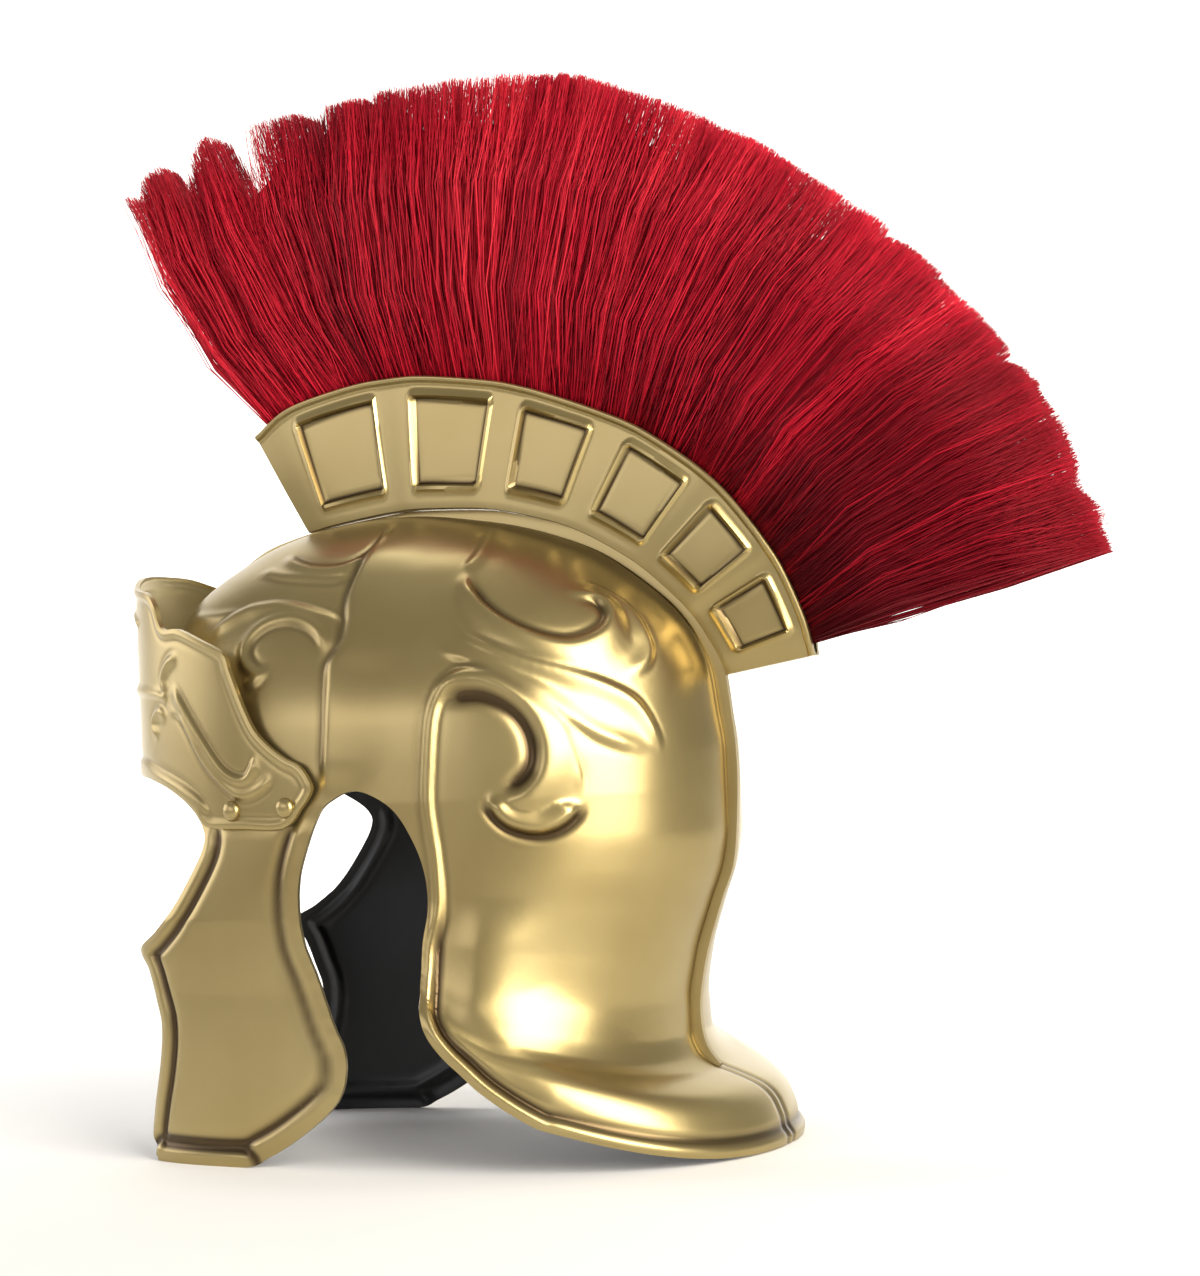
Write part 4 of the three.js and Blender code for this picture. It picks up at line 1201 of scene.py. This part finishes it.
def build_stage(settings):
    """Paper sweep, soft lights, and the camera a little behind the wearer's left side."""
    turn = settings.camera_turn
    toward = Vector((math.cos(turn), math.sin(turn), 0))
    right = Vector((-toward.y, toward.x, 0))

    def spot(ahead, aside, up):
        return toward * ahead + right * aside + Vector((0, 0, up))

    curve = [(-0.9 - SWEEP_BEND * math.sin(a), SWEEP_BEND * (1 - math.cos(a)))
             for a in np.linspace(0, math.pi / 2, 17)[1:]]
    profile = [(1.6, 0.0), (-0.9, 0.0), *curve, (-1.6, 3.2)]
    mesh = bpy.data.meshes.new("paper_sweep")
    mesh.from_pydata([spot(ahead, wide, up) for ahead, up in profile for wide in (-3.0, 3.0)], [],
                     [(i, i + 2, i + 3, i + 1) for i in range(0, 2 * len(profile) - 2, 2)])
    mesh.materials.append(shared(material_floor, settings))
    mesh.shade_smooth()
    add_object("paper_sweep", mesh)

    for name, turn, rise, far, size, power, colour, spread in SOFTBOXES:
        turn, rise = math.radians(turn), math.radians(rise)
        place = (far * math.cos(turn) * math.cos(rise), far * math.sin(turn) * math.cos(rise),
                 LIGHT_BASE + far * math.sin(rise))
        area_light(name, place, (0, 0, LIGHT_AIM), size, power, colour, spread)
    area_light("sweep wash", spot(-0.9, 0.0, 2.6), spot(-1.6, 0.0, 0.5), (3.0, 1.2), 42,
               "#ffffff", 80)
    world = bpy.data.worlds.new("studio")
    bpy.context.scene.world = world
    world.use_nodes = True
    background = world.node_tree.nodes["Background"]
    background.inputs["Color"].default_value = settings.room
    background.inputs["Strength"].default_value = 0.6
    bpy.context.scene.view_settings.view_transform = "Standard"

    camera = bpy.data.cameras.new("camera")
    camera.sensor_width = 36
    camera.lens = settings.camera_lens
    camera.clip_start, camera.clip_end = 0.01, 50
    obj = add_object("camera", camera)
    pitch, roll = settings.camera_pitch, settings.camera_roll
    back = toward * math.cos(pitch) + Vector((0, 0, math.sin(pitch)))
    up = back.cross(right)
    across = right * math.cos(roll) + up * math.sin(roll)
    above = up * math.cos(roll) - right * math.sin(roll)
    centre = Vector((0, -CENTRE_Y * MM, settings.camera_aim_z))
    place = Matrix.Translation(centre + back * settings.camera_distance)
    obj.matrix_world = place @ Matrix((across, above, back)).transposed().to_4x4()
    bpy.context.scene.camera = obj


def metres(name, description, default):
    """A length; the next functions make the other kinds of setting."""
    return bpy.props.FloatProperty(
        name=name, description=description, default=default, min=0.0, precision=5,
        subtype="DISTANCE", unit="LENGTH")


def count(name, description, default, least):
    return bpy.props.IntProperty(name=name, description=description, default=default, min=least)


def factor(name, description, default, most):
    return bpy.props.FloatProperty(
        name=name, description=description, default=default, min=0.0, max=most, subtype="FACTOR")


def degrees_of(name, description, degrees):
    return bpy.props.FloatProperty(
        name=name, description=description, default=math.radians(degrees), subtype="ANGLE",
        unit="ROTATION")


def hex_colour(name, description, code):
    return bpy.props.FloatVectorProperty(
        name=name, description=description, default=linear(code), size=4, min=0.0, max=1.0,
        subtype="COLOR")


class HelmetSettings(bpy.types.PropertyGroup):
    """Sizes, colours and mesh steps of the helmet and its stage."""

    wall: metres("Wall", "Thickness of the shell and of the crest holder", 0.0018)
    plate_wall: metres("Plate wall", "Thickness of the brow plate", 0.002)
    relief: factor("Relief", "Height of the moulded relief as a share of the real one", 1.0, 2.0)
    around_steps: count("Steps round", "Mesh columns of a half shell, face to nape", 324, 24)
    dome_steps: count("Steps down the dome", "Mesh rows from the crown to the brow", 130, 12)
    body_steps: count("Steps down the body", "Mesh rows from the brow to the edge", 156, 12)
    back_share: factor("Triangles kept", "Share left once a sheet's back is thinned", 0.62, 1.0)
    plate_columns: count("Plate columns", "Mesh columns of the brow plate", 420, 24)
    plate_rows: count("Plate rows", "Mesh rows of the brow plate", 128, 12)
    rivet_radius: metres("Rivet radius", "Radius of a rivet head", 0.004)
    crest_columns: count("Holder columns", "Mesh columns of the crest holder", 260, 24)
    crest_rows: count("Holder rows", "Mesh rows of the crest holder", 36, 8)
    bristles: count("Bristles", "Number of separate bristles in the brush", 19000, 3)
    bristle_width: metres("Bristle width", "Thickness of one bristle at its root", 0.00055)
    locks: count("Locks", "Number of locks that the bristles gather into", 90, 1)
    seed: count("Seed", "Start of the random spread of the bristles", 7, 0)
    gold_low: hex_colour("Gold, darker", "Darker tone of the gold paint", "#9f8c5b")
    gold_high: hex_colour("Gold, lighter", "Lighter tone of the gold paint", "#ad9c6c")
    # Painted shade: the dark brown that the gold is darkened to in its grooves, standing for the
    # shade in the recesses.
    groove: hex_colour("Groove", "Brown where the gold thins in the grooves", "#3b2a17")
    inside: hex_colour("Inside", "Bare plastic inside the shell", "#08090b")
    bristle_shade: hex_colour("Bristle, shade", "Darkest tone of the bristles", "#4c0410")
    bristle_deep: hex_colour("Bristle, deep", "Deep tone of the bristles", "#8c0a1c")
    bristle_mid: hex_colour("Bristle, middle", "Middle tone of the bristles", "#bb132c")
    bristle_light: hex_colour("Bristle, light", "Lightest tone of the bristles", "#dd2f3d")
    paper: hex_colour("Paper", "Floor and backdrop", "#e8e7e5")
    room: hex_colour("Room", "Even light of the room", "#cfcbc4")
    camera_turn: degrees_of("Camera turn", "Turn from the wearer's left towards the back", 21.6)
    camera_pitch: degrees_of("Camera pitch", "Rise of the camera over the point it aims at", -1.2)
    camera_roll: degrees_of("Camera roll", "Roll of the camera about its line of sight", -2.5)
    camera_distance: metres("Camera distance", "From the camera to the point it aims at", 1.15)
    camera_aim_z: metres("Camera aim height", "Height of the point it aims at", 0.2005)
    camera_lens: bpy.props.FloatProperty(
        name="Lens", description="Focal length on a sensor 36 mm wide",
        default=81.11, min=10.0, unit="CAMERA")


class Step:
    """What all building steps share."""

    bl_options = {"REGISTER", "UNDO"}


class HELMET_OT_shell(Step, bpy.types.Operator):
    """Both half shells with their relief and seam flange"""

    bl_idname = "helmet.shell"
    bl_label = "Shell"

    def execute(self, context):
        build_shell(context.scene.roman_helmet)
        return {"FINISHED"}


class HELMET_OT_plate(Step, bpy.types.Operator):
    """Brow plate with its scrolls"""

    bl_idname = "helmet.plate"
    bl_label = "Brow plate"

    def execute(self, context):
        build_plate(context.scene.roman_helmet)
        return {"FINISHED"}


class HELMET_OT_rivets(Step, bpy.types.Operator):
    """Rivet heads on the brow plate"""

    bl_idname = "helmet.rivets"
    bl_label = "Rivets"

    def execute(self, context):
        build_rivets(context.scene.roman_helmet)
        return {"FINISHED"}


class HELMET_OT_crest(Step, bpy.types.Operator):
    """Both faces of the crest holder"""

    bl_idname = "helmet.crest"
    bl_label = "Crest holder"

    def execute(self, context):
        build_crest(context.scene.roman_helmet)
        return {"FINISHED"}


class HELMET_OT_core(Step, bpy.types.Operator):
    """Dense heart of the brush"""

    bl_idname = "helmet.core"
    bl_label = "Brush core"

    def execute(self, context):
        build_core(context.scene.roman_helmet)
        return {"FINISHED"}


class HELMET_OT_bristles(Step, bpy.types.Operator):
    """Separate bristles of the brush"""

    bl_idname = "helmet.bristles"
    bl_label = "Bristles"

    def execute(self, context):
        build_bristles(context.scene.roman_helmet)
        return {"FINISHED"}


class HELMET_OT_stage(Step, bpy.types.Operator):
    """Floor, lights and camera"""

    bl_idname = "helmet.stage"
    bl_label = "Stage"

    def execute(self, context):
        build_stage(context.scene.roman_helmet)
        return {"FINISHED"}


STEPS = (
    HELMET_OT_shell, HELMET_OT_plate, HELMET_OT_rivets, HELMET_OT_crest, HELMET_OT_core,
    HELMET_OT_bristles, HELMET_OT_stage,
)


class HELMET_PT_panel(bpy.types.Panel):
    """The building steps and their settings"""

    bl_label = "Roman helmet"
    bl_idname = "HELMET_PT_panel"
    bl_space_type = "VIEW_3D"
    bl_region_type = "UI"
    bl_category = "Helmet"

    def draw(self, context):
        for step in STEPS:
            self.layout.operator(step.bl_idname)
        for name in HelmetSettings.__annotations__:
            self.layout.prop(context.scene.roman_helmet, name)


CLASSES = (HelmetSettings, *STEPS, HELMET_PT_panel)


def register():
    for cls in CLASSES:
        bpy.utils.register_class(cls)
    bpy.types.Scene.roman_helmet = bpy.props.PointerProperty(type=HelmetSettings)


def unregister():
    del bpy.types.Scene.roman_helmet
    for cls in reversed(CLASSES):
        bpy.utils.unregister_class(cls)


def main():
    """Registers the add-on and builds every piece."""
    register()
    for step in STEPS:
        space, name = step.bl_idname.split(".")
        getattr(getattr(bpy.ops, space), name)()


if __name__ == "__main__":
    main()
